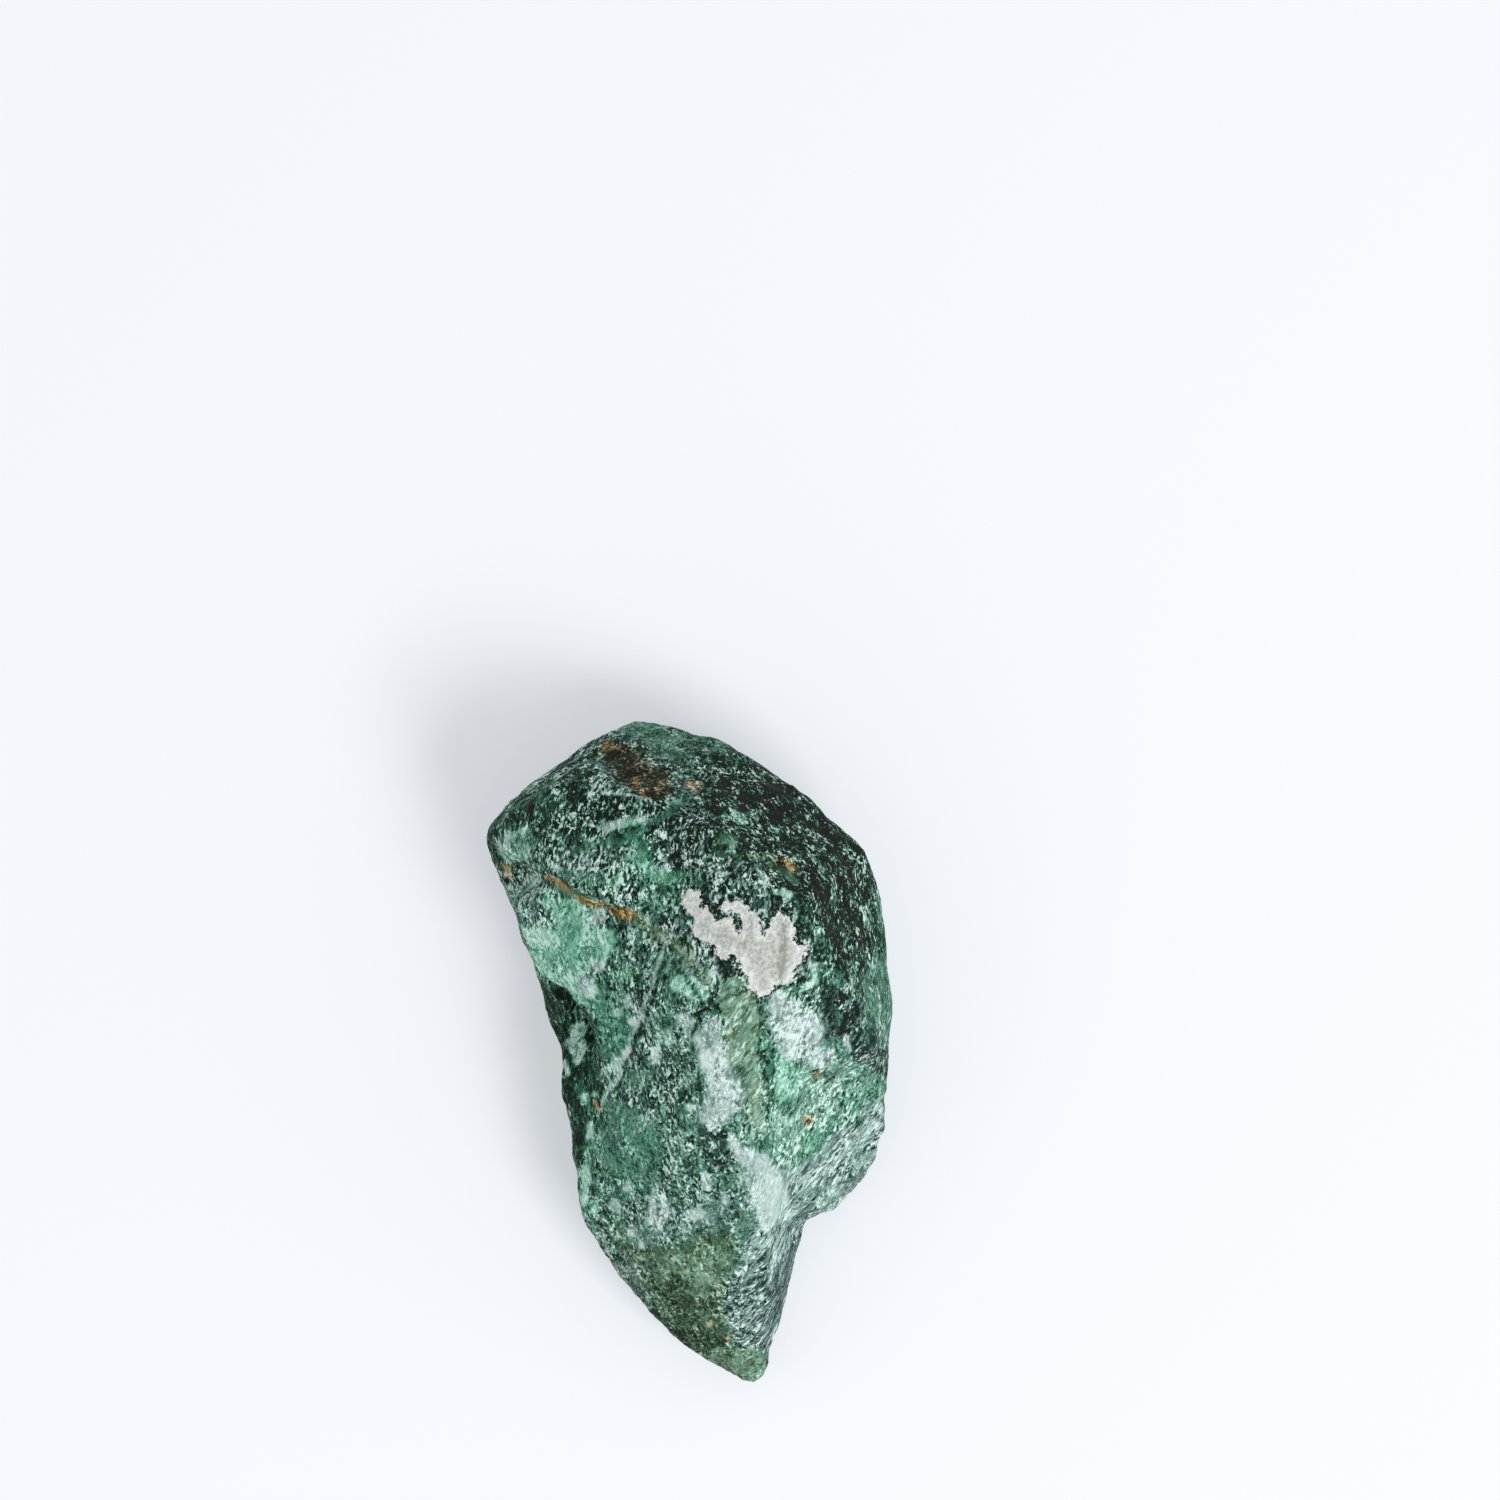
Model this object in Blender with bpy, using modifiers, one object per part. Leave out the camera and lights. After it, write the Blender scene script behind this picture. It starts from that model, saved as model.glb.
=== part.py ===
"""Rough green aventurine: one unpolished, broken lump of green quartz rock, lying on a flat spot.

The stone is modelled as it was broken. Angular blocks are joined, a hollow is cut under the plate
that overhangs on the left, and a few pits are chipped out. The surface then gets the rock's own
relief: the edges of its layers stand out as ledges, and lumps, chips, grooves and low steps cross it.
X runs across the stone, Y along it, away from the narrow foot, and Z up.
"""

from collections import namedtuple

import bmesh
import bpy
from mathutils import Matrix, Vector, noise

# Driving sizes of the finished stone, in metres.
STONE_LENGTH = 0.066
STONE_WIDTH = 0.040
STONE_THICKNESS = 0.027

MM = 0.001

# The rock's layers are almost level and sink a little towards +X.
LAYER_NORMAL = Vector((0.35, -0.06, 0.93)).normalized()
LAYER_STEP = 2.3 * MM
LAYER_WARP = 0.8
LEDGE_DEPTH = 0.42 * MM

# The relief's noise: what sets one layer's pattern, or the chips' pattern, apart from the others.
NEXT_LAYER = 7.3
CHIP_PATTERN = Vector((5.0, 0.0, 2.0))

LUMP_SPACING = 9.0 * MM
LUMP_HEIGHT = 0.42 * MM
LUMP_EVENNESS = 0.9
LUMP_SHRINK = 2.0
LUMP_SIZES = 3
CHIP_SPACING = 3.6 * MM
CHIP_HEIGHT = 0.32 * MM

# The mesh is evened out to this spacing, roughened, and thinned to this many triangles.
VOXEL = 0.7 * MM
TRIANGLES = 8000

# The flat spot is cut this far up, where the relief hasn't started yet.
FLAT_SPOT_CUT = 0.4 * MM
RELIEF_STARTS = 0.5 * MM
RELIEF_FULL = 1.8 * MM

# Corners of the broad upper mass, in millimetres, from its top face down to its flat spot.
MASS_TOP = [
    (-16.0, 24.0, 17.0), (-10.5, 24.0, 21.5), (-4.0, 24.0, 24.0), (3.0, 21.0, 26.5),
    (11.5, 14.0, 26.5), (7.5, 11.5, 27.5), (14.0, 8.5, 23.5), (18.5, -0.5, 18.0),
    (1.5, 4.0, 27.0), (3.5, -5.0, 25.0), (-4.0, 4.5, 24.5),
]
MASS_OUTLINE = [
    (-19.5, 20.5, 12.5), (-17.0, 24.0, 12.0), (-10.0, 29.0, 11.0), (-8.5, 30.0, 11.0),
    (-4.5, 32.0, 10.0), (3.5, 30.0, 12.0), (11.5, 25.0, 12.5), (18.0, 19.0, 13.0),
    (20.0, 11.0, 12.0), (20.5, 3.0, 10.5), (20.0, -5.0, 9.0), (-18.0, 16.5, 11.0),
    (-16.3, 12.0, 11.5), (-13.5, 6.0, 11.0),
]
MASS_LOWER = [
    (-15.5, 21.0, 6.5), (-8.0, 28.0, 4.5), (3.5, 27.0, 5.5), (15.0, 19.5, 6.0),
    (18.0, 7.0, 3.0), (17.0, -4.5, 3.5), (-11.5, -3.0, 3.5), (-15.0, 9.0, 6.0),
]
FLAT_SPOT = [
    (-8.0, 15.5, 0.0), (-2.0, 19.0, 0.0), (7.0, 15.0, 0.0), (10.5, 6.0, 0.0), (9.5, -6.0, 0.0),
    (5.5, -12.5, 0.0), (-2.0, -12.0, 0.0), (-6.5, -4.5, 0.0), (-9.0, 7.5, 0.0),
]

# The long foot, which narrows to a blunt tip: its crest, its broad left side, its outline and,
# lower, the underside, which rises off the ground.
FOOT_CREST = [
    (1.5, 4.0, 26.5), (3.5, -5.0, 25.0), (6.5, -13.0, 21.0), (8.5, -18.0, 16.5),
    (4.8, -24.7, 13.3), (5.6, -32.8, 6.5),
]
FOOT_SIDE = [
    (-8.0, -0.5, 18.0), (-6.0, -10.0, 17.5), (-2.5, -20.0, 14.5), (1.5, -26.0, 11.5),
    (11.0, -5.0, 20.0),
]
FOOT_OUTLINE = [
    (-12.5, 3.0, 12.0), (-12.5, -0.5, 12.0), (-12.0, -5.0, 12.0), (-11.3, -9.5, 11.5),
    (-10.7, -14.5, 11.0), (-10.5, -17.3, 10.5), (-8.1, -21.2, 9.5), (-5.1, -25.3, 8.5),
    (-1.7, -29.2, 7.0), (2.4, -32.1, 5.5), (6.1, -34.6, 3.0), (7.8, -34.2, 4.0),
    (8.2, -29.5, 4.0), (10.4, -24.0, 4.5), (11.5, -19.5, 5.0),
]
FOOT_LOWER = [
    (-8.5, -3.0, 3.0), (-8.0, -15.0, 3.5), (-3.5, -22.5, 3.5), (1.5, -27.5, 3.0),
    (6.0, -31.5, 1.8), (8.0, -26.5, 1.8), (9.8, -19.5, 1.5), (11.0, -6.5, 1.5),
]

# The low lobe that spreads to the right of the foot.
LOBE = [
    (10.0, -1.5, 22.0), (16.0, -1.5, 17.0), (19.5, -4.0, 12.0), (20.0, -8.0, 8.5),
    (19.5, -10.0, 7.0), (19.0, -12.5, 5.5), (17.5, -15.1, 4.5), (15.5, -17.1, 3.5),
    (13.6, -17.5, 3.5), (11.5, -17.0, 6.0), (9.0, -17.0, 13.0), (7.5, -10.0, 19.0),
    (9.5, -6.5, 1.0), (15.5, -4.5, 1.8), (16.0, -10.5, 1.8), (12.5, -14.5, 1.5),
    (10.5, -14.5, 1.0),
]

# The plate at the upper left, which overhangs a hollow and ends at it in a curved edge.
PLATE_TOP = [
    (-16.5, 14.5, 18.0), (-12.0, 15.5, 21.0), (-8.0, 14.0, 22.5), (-4.0, 8.5, 24.3),
    (-4.0, 3.5, 23.0), (-6.0, -0.5, 19.8), (-8.3, -0.8, 17.8), (-14.0, 7.0, 16.0),
    (-15.7, 10.5, 16.3),
]
PLATE_THICKNESS = 3.5

# The hollow bites into the plate's edge. Its floor rises away from the plate, to the foot's side.
HOLLOW_FLOOR = [
    (-15.5, 7.6, 11.0), (-14.0, 6.9, 11.0), (-11.3, 5.2, 11.3), (-10.2, 3.9, 11.8),
    (-9.1, 2.1, 12.8), (-8.4, -0.8, 14.8), (-8.8, -7.0, 15.8), (-13.0, -7.0, 12.0),
    (-15.5, -4.0, 11.3),
]
HOLLOW_HEIGHT = 18.0
UNDERCUT_FLOOR = [
    (-14.5, 6.0, 11.0), (-13.0, 8.2, 11.3), (-9.8, 6.2, 11.6), (-8.2, 3.6, 12.4),
    (-7.4, 0.2, 14.0), (-10.5, 0.5, 12.4),
]
UNDERCUT_HEIGHT = 3.0

# The hump at the upper left, which ends in a step down to the plate.
HUMP_TOP = [
    (-17.0, 22.5, 18.0), (-13.5, 25.0, 21.0), (-9.0, 28.0, 19.0), (-7.0, 26.5, 22.0),
    (-4.0, 24.0, 24.3), (-3.0, 20.0, 24.9), (-3.5, 15.0, 24.8), (-5.0, 13.0, 24.5),
    (-9.0, 14.0, 24.0), (-13.0, 17.0, 22.0), (-17.5, 19.0, 17.5), (-19.0, 20.5, 14.5),
]
HUMP_THICKNESS = 7.0

# Pits chipped out of the surface: the centre and radius of each, in millimetres.
PITS = [
    ((4.8, 12.4, 28.2), 1.5), ((13.0, -12.5, 13.8), 1.3), ((-17.3, 17.5, 18.3), 1.5),
    ((15.5, 5.0, 23.8), 1.8), ((1.0, -28.3, 12.3), 1.4), ((-3.0, 30.0, 19.0), 1.7),
    ((16.0, 20.5, 8.5), 2.0), ((-11.5, 24.5, 5.5), 2.2), ((-1.5, -23.0, 1.5), 1.6),
]

# Lines that cross the top, in millimetres: a route, the half width and depth of the groove along
# it, and how far the rock drops on the route's right hand side, which rises if that is negative.
Line = namedtuple("Line", "route half_width depth drop")
HUMP_BAND = Line(
    [(-10.5, 19.0), (-8.0, 19.4), (-6.0, 19.8), (-4.3, 21.3), (-1.6, 23.2), (0.7, 24.2)],
    half_width=0.8, depth=0.5, drop=0.0)
VEIN_STEP = Line(
    [(-17.0, 18.0), (-13.2, 16.5), (-10.0, 14.5), (-7.8, 13.5), (-5.0, 12.9), (-2.2, 11.1),
     (1.1, 8.0)],
    half_width=0.6, depth=0.25, drop=0.5)
PLATE_SEAM = Line(
    [(-6.5, -2.6), (-5.3, 0.3), (-4.1, 2.7), (-3.2, 5.6), (-2.0, 8.9)],
    half_width=0.5, depth=0.2, drop=-0.3)
SPOON_EDGE = Line(
    [(1.5, 18.8), (2.5, 17.7), (3.5, 16.9), (4.6, 16.9), (5.7, 17.9)],
    half_width=0.5, depth=0.3, drop=-0.3)
LOBE_STEP = Line(
    [(12.5, -15.5), (13.5, -14.3), (16.0, -11.7), (18.0, -10.6), (19.6, -8.4)],
    half_width=0.7, depth=0.5, drop=0.7)
LINES = [HUMP_BAND, VEIN_STEP, PLATE_SEAM, SPOON_EDGE, LOBE_STEP]
DROP_REACH = 4.0
STEP_WIDTH = 1.2
END_FADE = 2.5

# Lines fade out on the sides: how far up a face points, where they start and where they are full.
LEAST_UPWARD = 0.15
FULLY_UPWARD = 0.45


def clear_scene():
    for old in list(bpy.data.objects):
        bpy.data.objects.remove(old, do_unlink=True)


def new_collection(name):
    collection = bpy.data.collections.new(name)
    bpy.context.scene.collection.children.link(collection)
    return collection


def add_object(name, shape, collection):
    """Put a finished bmesh into the collection as an object of that name."""
    mesh = bpy.data.meshes.new(name)
    shape.to_mesh(mesh)
    shape.free()
    made = bpy.data.objects.new(name, mesh)
    collection.objects.link(made)
    return made


def block(name, corners, collection):
    """A convex block of rock through the given corners, which are in millimetres."""
    shape = bmesh.new()
    for corner in corners:
        shape.verts.new(Vector(corner) * MM)
    hull = bmesh.ops.convex_hull(shape, input=shape.verts)
    spare = [item for item in hull["geom_interior"] if isinstance(item, bmesh.types.BMVert)]
    bmesh.ops.delete(shape, geom=spare, context="VERTS")
    bmesh.ops.recalc_face_normals(shape, faces=shape.faces)
    return add_object(name, shape, collection)


def slab(name, top, thickness, collection):
    """A block under a top outline, or over a floor outline where the thickness is negative."""
    other_side = [(x, y, z - thickness) for x, y, z in top]
    return block(name, top + other_side, collection)


def ball(name, centre, radius, collection):
    shape = bmesh.new()
    bmesh.ops.create_icosphere(shape, subdivisions=2, radius=radius * MM)
    bmesh.ops.translate(shape, verts=shape.verts, vec=Vector(centre) * MM)
    return add_object(name, shape, collection)


def combine(stone, tool, operation):
    """Join the tool to the stone, or cut the stone with it. The tool stays as a wire guide."""
    tool.display_type = "WIRE"
    tool.hide_render = True
    boolean = stone.modifiers.new(tool.name, "BOOLEAN")
    boolean.operation = operation
    boolean.solver = "EXACT"
    boolean.object = tool


def bake(stone):
    """Turn the object's modifiers into its own mesh."""
    graph = bpy.context.evaluated_depsgraph_get()
    mesh = bpy.data.meshes.new_from_object(stone.evaluated_get(graph))
    stone.modifiers.clear()
    stone.data = mesh


def even_out(stone):
    voxels = stone.modifiers.new("even mesh", "REMESH")
    voxels.mode = "VOXEL"
    voxels.voxel_size = VOXEL
    bake(stone)


def ledge_offset(place, normal):
    """How far a layer's broken edge stands out, on faces that cut across the layers."""
    warp = LAYER_WARP * noise.noise(place / LUMP_SPACING)
    level = place.dot(LAYER_NORMAL) / LAYER_STEP + warp
    layer = level // 1
    up_the_edge = level - layer
    pattern = noise.noise(Vector((layer * NEXT_LAYER, place.y / LUMP_SPACING, 0.0)))
    strength = (1.0 + pattern) / 2.0
    across = 1.0 - abs(normal.dot(LAYER_NORMAL))
    return LEDGE_DEPTH * across * strength * (1.0 - 2.0 * up_the_edge * up_the_edge)


def lump_offset(place):
    lumps = noise.fractal(place / LUMP_SPACING, LUMP_EVENNESS, LUMP_SHRINK, LUMP_SIZES)
    chips = abs(noise.noise(place / CHIP_SPACING + CHIP_PATTERN))
    return LUMP_HEIGHT * lumps - CHIP_HEIGHT * chips


def ramp(value, start, end):
    """Rise smoothly from 0 at the start to 1 at the end."""
    share = max(0.0, min(1.0, (value - start) / (end - start)))
    return share * share * (3.0 - 2.0 * share)


def nearest_on_route(route, place):
    """Where a place lies by a route, in millimetres: its distance, which is positive on the
    right hand side, and how far along the route the nearest end is.
    """
    spot = Vector((place.x, place.y)) / MM
    distance = None
    passed = 0.0
    for start, end in zip(route, route[1:]):
        start = Vector(start)
        run = Vector(end) - start
        share = max(0.0, min(1.0, (spot - start).dot(run) / run.length_squared))
        away = spot - (start + run * share)
        if distance is None or away.length < abs(distance):
            side = 1.0 if run.x * away.y - run.y * away.x < 0.0 else -1.0
            distance = side * away.length
            along = passed + share * run.length
        passed += run.length
    return distance, min(along, passed - along)


def line_offset(place, normal):
    """Grooves and low steps along the lines, which only the upper side of the stone has."""
    if normal.z < LEAST_UPWARD:
        return 0.0
    depth = 0.0
    for line in LINES:
        distance, from_end = nearest_on_route(line.route, place)
        groove = 1.0 - ramp(abs(distance), 0.0, line.half_width)
        step = ramp(distance, -STEP_WIDTH / 2.0, STEP_WIDTH / 2.0)
        step *= 1.0 - ramp(distance, 0.0, DROP_REACH)
        depth += (line.depth * groove + line.drop * step) * ramp(from_end, 0.0, END_FADE)
    return -depth * ramp(normal.z, LEAST_UPWARD, FULLY_UPWARD) * MM


def roughen(stone):
    """Move each point along its normal, by ledges, lumps, chips and lines.

    The relief fades out towards the base, so the flat spot is cut from level rock.
    """
    moved = []
    for point in stone.data.vertices:
        offset = ledge_offset(point.co, point.normal) + lump_offset(point.co)
        offset += line_offset(point.co, point.normal)
        moved.append(point.co + point.normal * offset * ramp(point.co.z, RELIEF_STARTS, RELIEF_FULL))
    for point, place in zip(stone.data.vertices, moved):
        point.co = place
    stone.data.update()


def thin_out(stone):
    """Fewer, unequal triangles, which keep the ridges and leave the faces flat."""
    stone.data.calc_loop_triangles()
    fewer = stone.modifiers.new("fewer faces", "DECIMATE")
    fewer.decimate_type = "COLLAPSE"
    fewer.use_collapse_triangulate = True
    fewer.ratio = TRIANGLES / len(stone.data.loop_triangles)
    bake(stone)


def cut_flat_spot(stone):
    """Slice off the lowest rock, which leaves the flat spot that the stone rests on."""
    shape = bmesh.new()
    shape.from_mesh(stone.data)
    height = min(point.co.z for point in shape.verts) + FLAT_SPOT_CUT
    everything = list(shape.verts) + list(shape.edges) + list(shape.faces)
    cut = bmesh.ops.bisect_plane(shape, geom=everything, plane_co=(0.0, 0.0, height),
                                 plane_no=(0.0, 0.0, 1.0), clear_inner=True)
    rim = [item for item in cut["geom_cut"] if isinstance(item, bmesh.types.BMEdge)]
    bmesh.ops.holes_fill(shape, edges=rim, sides=0)
    bmesh.ops.triangulate(shape, faces=[face for face in shape.faces if len(face.verts) > 3])
    bmesh.ops.recalc_face_normals(shape, faces=shape.faces)
    shape.to_mesh(stone.data)
    shape.free()


def fit_to_size(stone):
    """Give the stone its exact size, with its origin under the middle of its box."""
    places = [point.co for point in stone.data.vertices]
    lowest = Vector([min(place[axis] for place in places) for axis in range(3)])
    highest = Vector([max(place[axis] for place in places) for axis in range(3)])
    middle = (lowest + highest) / 2.0
    middle.z = lowest.z
    span = highest - lowest
    size = Vector((STONE_WIDTH / span.x, STONE_LENGTH / span.y, STONE_THICKNESS / span.z))
    stone.data.transform(Matrix.Diagonal((*size, 1.0)) @ Matrix.Translation(-middle))


def aventurine():
    """Dull green rock: the middle colour of its green, pale and dark grains."""
    material = bpy.data.materials.new("aventurine")
    material.use_nodes = True
    shader = material.node_tree.nodes["Principled BSDF"]
    shader.inputs["Base Color"].default_value = (0.115, 0.21, 0.165, 1.0)
    shader.inputs["Roughness"].default_value = 0.6
    shader.inputs["Metallic"].default_value = 0.0
    return material


def make_stone():
    parts = new_collection("green_aventurine")
    tools = new_collection("blocks_and_cutters")
    stone = block("stone", MASS_TOP + MASS_OUTLINE + MASS_LOWER + FLAT_SPOT, parts)
    foot = block("foot_block", FOOT_CREST + FOOT_SIDE + FOOT_OUTLINE + FOOT_LOWER, tools)
    combine(stone, foot, "UNION")
    combine(stone, block("lobe_block", LOBE, tools), "UNION")
    combine(stone, slab("plate_block", PLATE_TOP, PLATE_THICKNESS, tools), "UNION")
    combine(stone, slab("hump_block", HUMP_TOP, HUMP_THICKNESS, tools), "UNION")
    combine(stone, slab("hollow_cutter", HOLLOW_FLOOR, -HOLLOW_HEIGHT, tools), "DIFFERENCE")
    combine(stone, slab("undercut_cutter", UNDERCUT_FLOOR, -UNDERCUT_HEIGHT, tools), "DIFFERENCE")
    for number, (centre, radius) in enumerate(PITS, 1):
        combine(stone, ball(f"pit_cutter_{number}", centre, radius, tools), "DIFFERENCE")
    bake(stone)
    even_out(stone)
    roughen(stone)
    thin_out(stone)
    cut_flat_spot(stone)
    fit_to_size(stone)
    stone.data.materials.clear()
    stone.data.materials.append(aventurine())


clear_scene()
make_stone()
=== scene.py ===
"""Looks of a rough green aventurine stone: one broken lump on a plain pale floor."""

from collections import namedtuple

import bpy
import numpy as np
from mathutils import Matrix, Vector, noise


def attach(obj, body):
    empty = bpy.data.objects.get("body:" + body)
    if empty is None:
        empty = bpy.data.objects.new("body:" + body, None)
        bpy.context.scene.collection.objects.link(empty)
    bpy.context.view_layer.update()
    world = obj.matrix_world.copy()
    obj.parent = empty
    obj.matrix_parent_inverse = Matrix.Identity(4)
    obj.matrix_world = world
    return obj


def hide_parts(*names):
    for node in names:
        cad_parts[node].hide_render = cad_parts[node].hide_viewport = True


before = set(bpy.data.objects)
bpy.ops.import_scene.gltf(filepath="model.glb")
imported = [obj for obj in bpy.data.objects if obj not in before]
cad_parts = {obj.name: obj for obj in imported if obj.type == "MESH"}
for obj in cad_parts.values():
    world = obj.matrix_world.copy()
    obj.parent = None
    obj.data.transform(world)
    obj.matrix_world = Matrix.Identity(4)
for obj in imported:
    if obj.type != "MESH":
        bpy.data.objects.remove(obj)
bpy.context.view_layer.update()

MM = 0.001

# The camera looks straight down. These place a point, in mm, in the photograph's 1500-pixel frame.
PHOTO_SIDE = 1500
PHOTO_MIDDLE = PHOTO_SIDE / 2
PIXELS_PER_MM = 10.0
CAMERA_X = 5.9
CAMERA_Y = 30.05
CAMERA_HEIGHT = 600.0
SENSOR_WIDTH = 36.0
# How near and how far the camera sees, in metres.
CAMERA_CLIP_START = 0.01
CAMERA_CLIP_END = 10.0

# The floor and the lights, in metres.
FLOOR_SIDE = 8.0
FLOOR_COLOR = (0.543, 0.558, 0.585, 1.0)
# The floor also glows by itself, so shadows on it stay faint.
FLOOR_GLOW_COLOR = (0.905, 0.93, 0.975, 1.0)
FLOOR_GLOW = 0.41
FLOOR_ROUGHNESS = 0.9
SKY_COLOR = (1.0, 1.0, 1.0, 1.0)
SKY_STRENGTH = 0.60
KEY_PLACE = (0.55, -0.5, 0.9)
KEY_SIDE = 0.5
KEY_POWER = 7.8
LIGHT_TARGET = (0.0, 0.0, 0.01)

# The rock's layers lie across this direction, and its grains are drawn out along the other.
LAYER_NORMAL = Vector((0.35, -0.06, 0.93)).normalized()
LINEATION = Vector((0.16, 0.98, 0.0))

# The fine mesh. Copied vertices closer than this, in metres, are one.
MERGE_DISTANCE = 1e-6
# The side of a remeshed face, in mm.
VOXEL = 0.285
SMOOTH_FACTOR = 0.5
SMOOTH_ROUNDS = 2

# Relief: (name, noise basis, grain size in mm, stretch along the layers' axes, height in mm).
RELIEF = [
    ("chips", "VORONOI_F1", 2.4, (1.3, 1.0, 0.8), 0.34),
    ("steps", "BLENDER_ORIGINAL", 1.1, (2.2, 1.2, 0.45), 0.22),
    ("grains", "VORONOI_F2_F1", 0.62, (1.2, 1.0, 0.8), 0.10),
]
RELIEF_OCTAVES = 2
# The noise value that moves nothing.
RELIEF_MIDDLE = 0.5
# Relief grows in between these heights in mm, so the flat spot stays flat.
RELIEF_LOW = 0.6
RELIEF_FULL = 2.2
# The share of the relief that the chalk lets through, and the half width in mm of that change.
CALM_RELIEF = 0.35
CALM_EDGE = 0.2
# Relief is weighted in this many steps.
RELIEF_STEPS = 20

# How fractal noise is built up: how fast its octaves fade, how much finer each is, and how many.
FRACTAL_FADE = 0.9
FRACTAL_FINER = 2.0
FRACTAL_OCTAVES = 3


def ramp(value, low, high):
    """0 below low, 1 above high and smooth between."""
    part = np.clip((value - low) / (high - low), 0.0, 1.0)
    return part * part * (3.0 - 2.0 * part)


def layer_axes():
    """Rows are the drawn-out direction, the one across it, and the layers' normal."""
    along = (LINEATION - LINEATION.dot(LAYER_NORMAL) * LAYER_NORMAL).normalized()
    return Matrix((along, LAYER_NORMAL.cross(along), LAYER_NORMAL))


# The stone's mesh.


def select_only(piece):
    for other in bpy.context.selected_objects:
        other.select_set(False)
    piece.select_set(True)
    bpy.context.view_layer.objects.active = piece


def apply_modifier(piece, kind, **settings):
    """Add a modifier with those settings to the active piece and apply it."""
    modifier = piece.modifiers.new(kind.lower(), kind)
    for name, value in settings.items():
        setattr(modifier, name, value)
    bpy.ops.object.modifier_apply(modifier=modifier.name)


def copy_node(name, piece_name):
    """A copy of a CAD node's mesh as a new piece, its loose triangles merged."""
    piece = bpy.data.objects.new(piece_name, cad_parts[name].data.copy())
    bpy.context.scene.collection.objects.link(piece)
    select_only(piece)
    bpy.ops.object.mode_set(mode="EDIT")
    bpy.ops.mesh.select_all(action="SELECT")
    bpy.ops.mesh.remove_doubles(threshold=MERGE_DISTANCE)
    bpy.ops.mesh.customdata_custom_splitnormals_clear()
    bpy.ops.object.mode_set(mode="OBJECT")
    piece.data.materials.clear()
    return piece


def vertex_values(piece, name):
    """Three numbers for each vertex, such as its place or its normal."""
    values = np.empty(len(piece.data.vertices) * 3)
    piece.data.vertices.foreach_get(name, values)
    return values.reshape(-1, 3)


def vertex_places(piece):
    """The vertices' places in mm."""
    return vertex_values(piece, "co") / MM


def vertex_normals(piece):
    return vertex_values(piece, "normal")


def noise_points(places, size, shift):
    """The places in units of that size, moved along X by the shift."""
    return [Vector(place) / size + Vector((shift, 0.0, 0.0)) for place in places]


def noise_at(places, size, shift):
    """Smooth noise from about -1 to 1 with features of that size in mm."""
    return np.array([noise.noise(point) for point in noise_points(places, size, shift)])


def fractal_at(places, size, shift):
    """Noise of that size in mm with finer noise on it."""
    settings = (FRACTAL_FADE, FRACTAL_FINER, FRACTAL_OCTAVES)
    return np.array([noise.fractal(point, *settings) for point in noise_points(places, size, shift)])


# The markings.

# How one kind of rock looks: how light it is on the screen from 0 to 1, how strong its flecks are,
# how much of it is green, olive, rusty or grey grain, and how far its flecks are drawn out.
Finish = namedtuple("Finish", "light spread green olive rust grey streak", defaults=(0.0,))

HUMP = Finish(0.205, 0.27, 0.5, 0.1, 0.0, 0.35)
HUMP_LOW = Finish(0.42, 0.235, 0.2, 0.2, 0.0, 0.3)
HUMP_DARK = Finish(0.21, 0.18, 0.3, 0.1, 0.0, 0.3)
# Dark partly by the rock's own tone and partly by painted shade.
UPPER_TONE_AND_SHADE = Finish(-0.15, 0.33, 1.7, 0.3, 0.0, 0.0, 0.3)
BODY = Finish(0.41, 0.17, 0.45, 0.1, 0.0, 0.1, 0.2)
BODY_GREEN = Finish(0.42, 0.125, 0.6, 0.0, 0.0, 0.3)
BODY_LOW = Finish(0.44, 0.118, 0.5, 0.2, 0.0, 0.15)
BODY_GREY = Finish(0.34, 0.2, 0.4, 0.1, 0.0, 0.2, 0.3)
FOOT = Finish(0.335, 0.095, 0.4, 0.9, 0.0, 0.0, 0.2)
SHADE_SIDE = Finish(0.09, 0.16, 1.1, 0.0, 0.0, 0.3)
SPECKLE = Finish(0.175, 0.36, 0.3, 0.1, 0.0, 0.35, 0.4)
STREAKS = Finish(0.46, 0.175, 0.1, 0.15, 0.0, 0.45, 0.9)
STREAKS_HIGH = Finish(0.655, 0.14, 0.15, 0.1, 0.0, 0.5, 0.9)
BLUE_EDGE = Finish(0.41, 0.14, 0.1, 0.0, 0.0, 0.8, 0.9)
LOBE = Finish(0.605, 0.14, 0.2, 0.1, 0.0, 0.5)
PALE = Finish(0.745, 0.10, 0.1, 0.1, 0.0, 0.65, 0.3)
PALE_CALM = Finish(0.775, 0.05, 0.1, 0.2, 0.0, 0.6, 0.4)
PALE_SPOT = Finish(0.73, 0.08, 0.2, 0.1, 0.0, 0.45)
PINK = Finish(0.79, 0.05, 0.0, 0.0, 0.0, 1.2)
MINT = Finish(0.68, 0.10, 2.6, 0.0, 0.0, 0.0)
MINT_DEEP = Finish(0.65, 0.10, 4.0, 0.0, 0.0, 0.0)
MINT_PALE = Finish(0.79, 0.09, 0.8, 0.0, 0.0, 0.2)
EMERALD = Finish(0.55, 0.165, 0.5, 0.25, 0.0, 0.2)
EMERALD_DEEP = Finish(0.46, 0.14, 0.9, 0.15, 0.0, 0.0)
EMERALD_CALM = Finish(0.41, 0.09, 1.1, 0.1, 0.0, 0.1)
GREEN_SPECKLE = Finish(0.45, 0.19, 0.55, 0.1, 0.0, 0.1)
GREEN_CALM = Finish(0.33, 0.13, 0.6, 0.3, 0.0, 0.0)
GREEN_DARK = Finish(0.21, 0.17, 0.6, 0.2, 0.0, 0.0)
SAGE = Finish(0.55, 0.095, 0.4, 0.6, 0.0, 0.2, 0.7)
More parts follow.
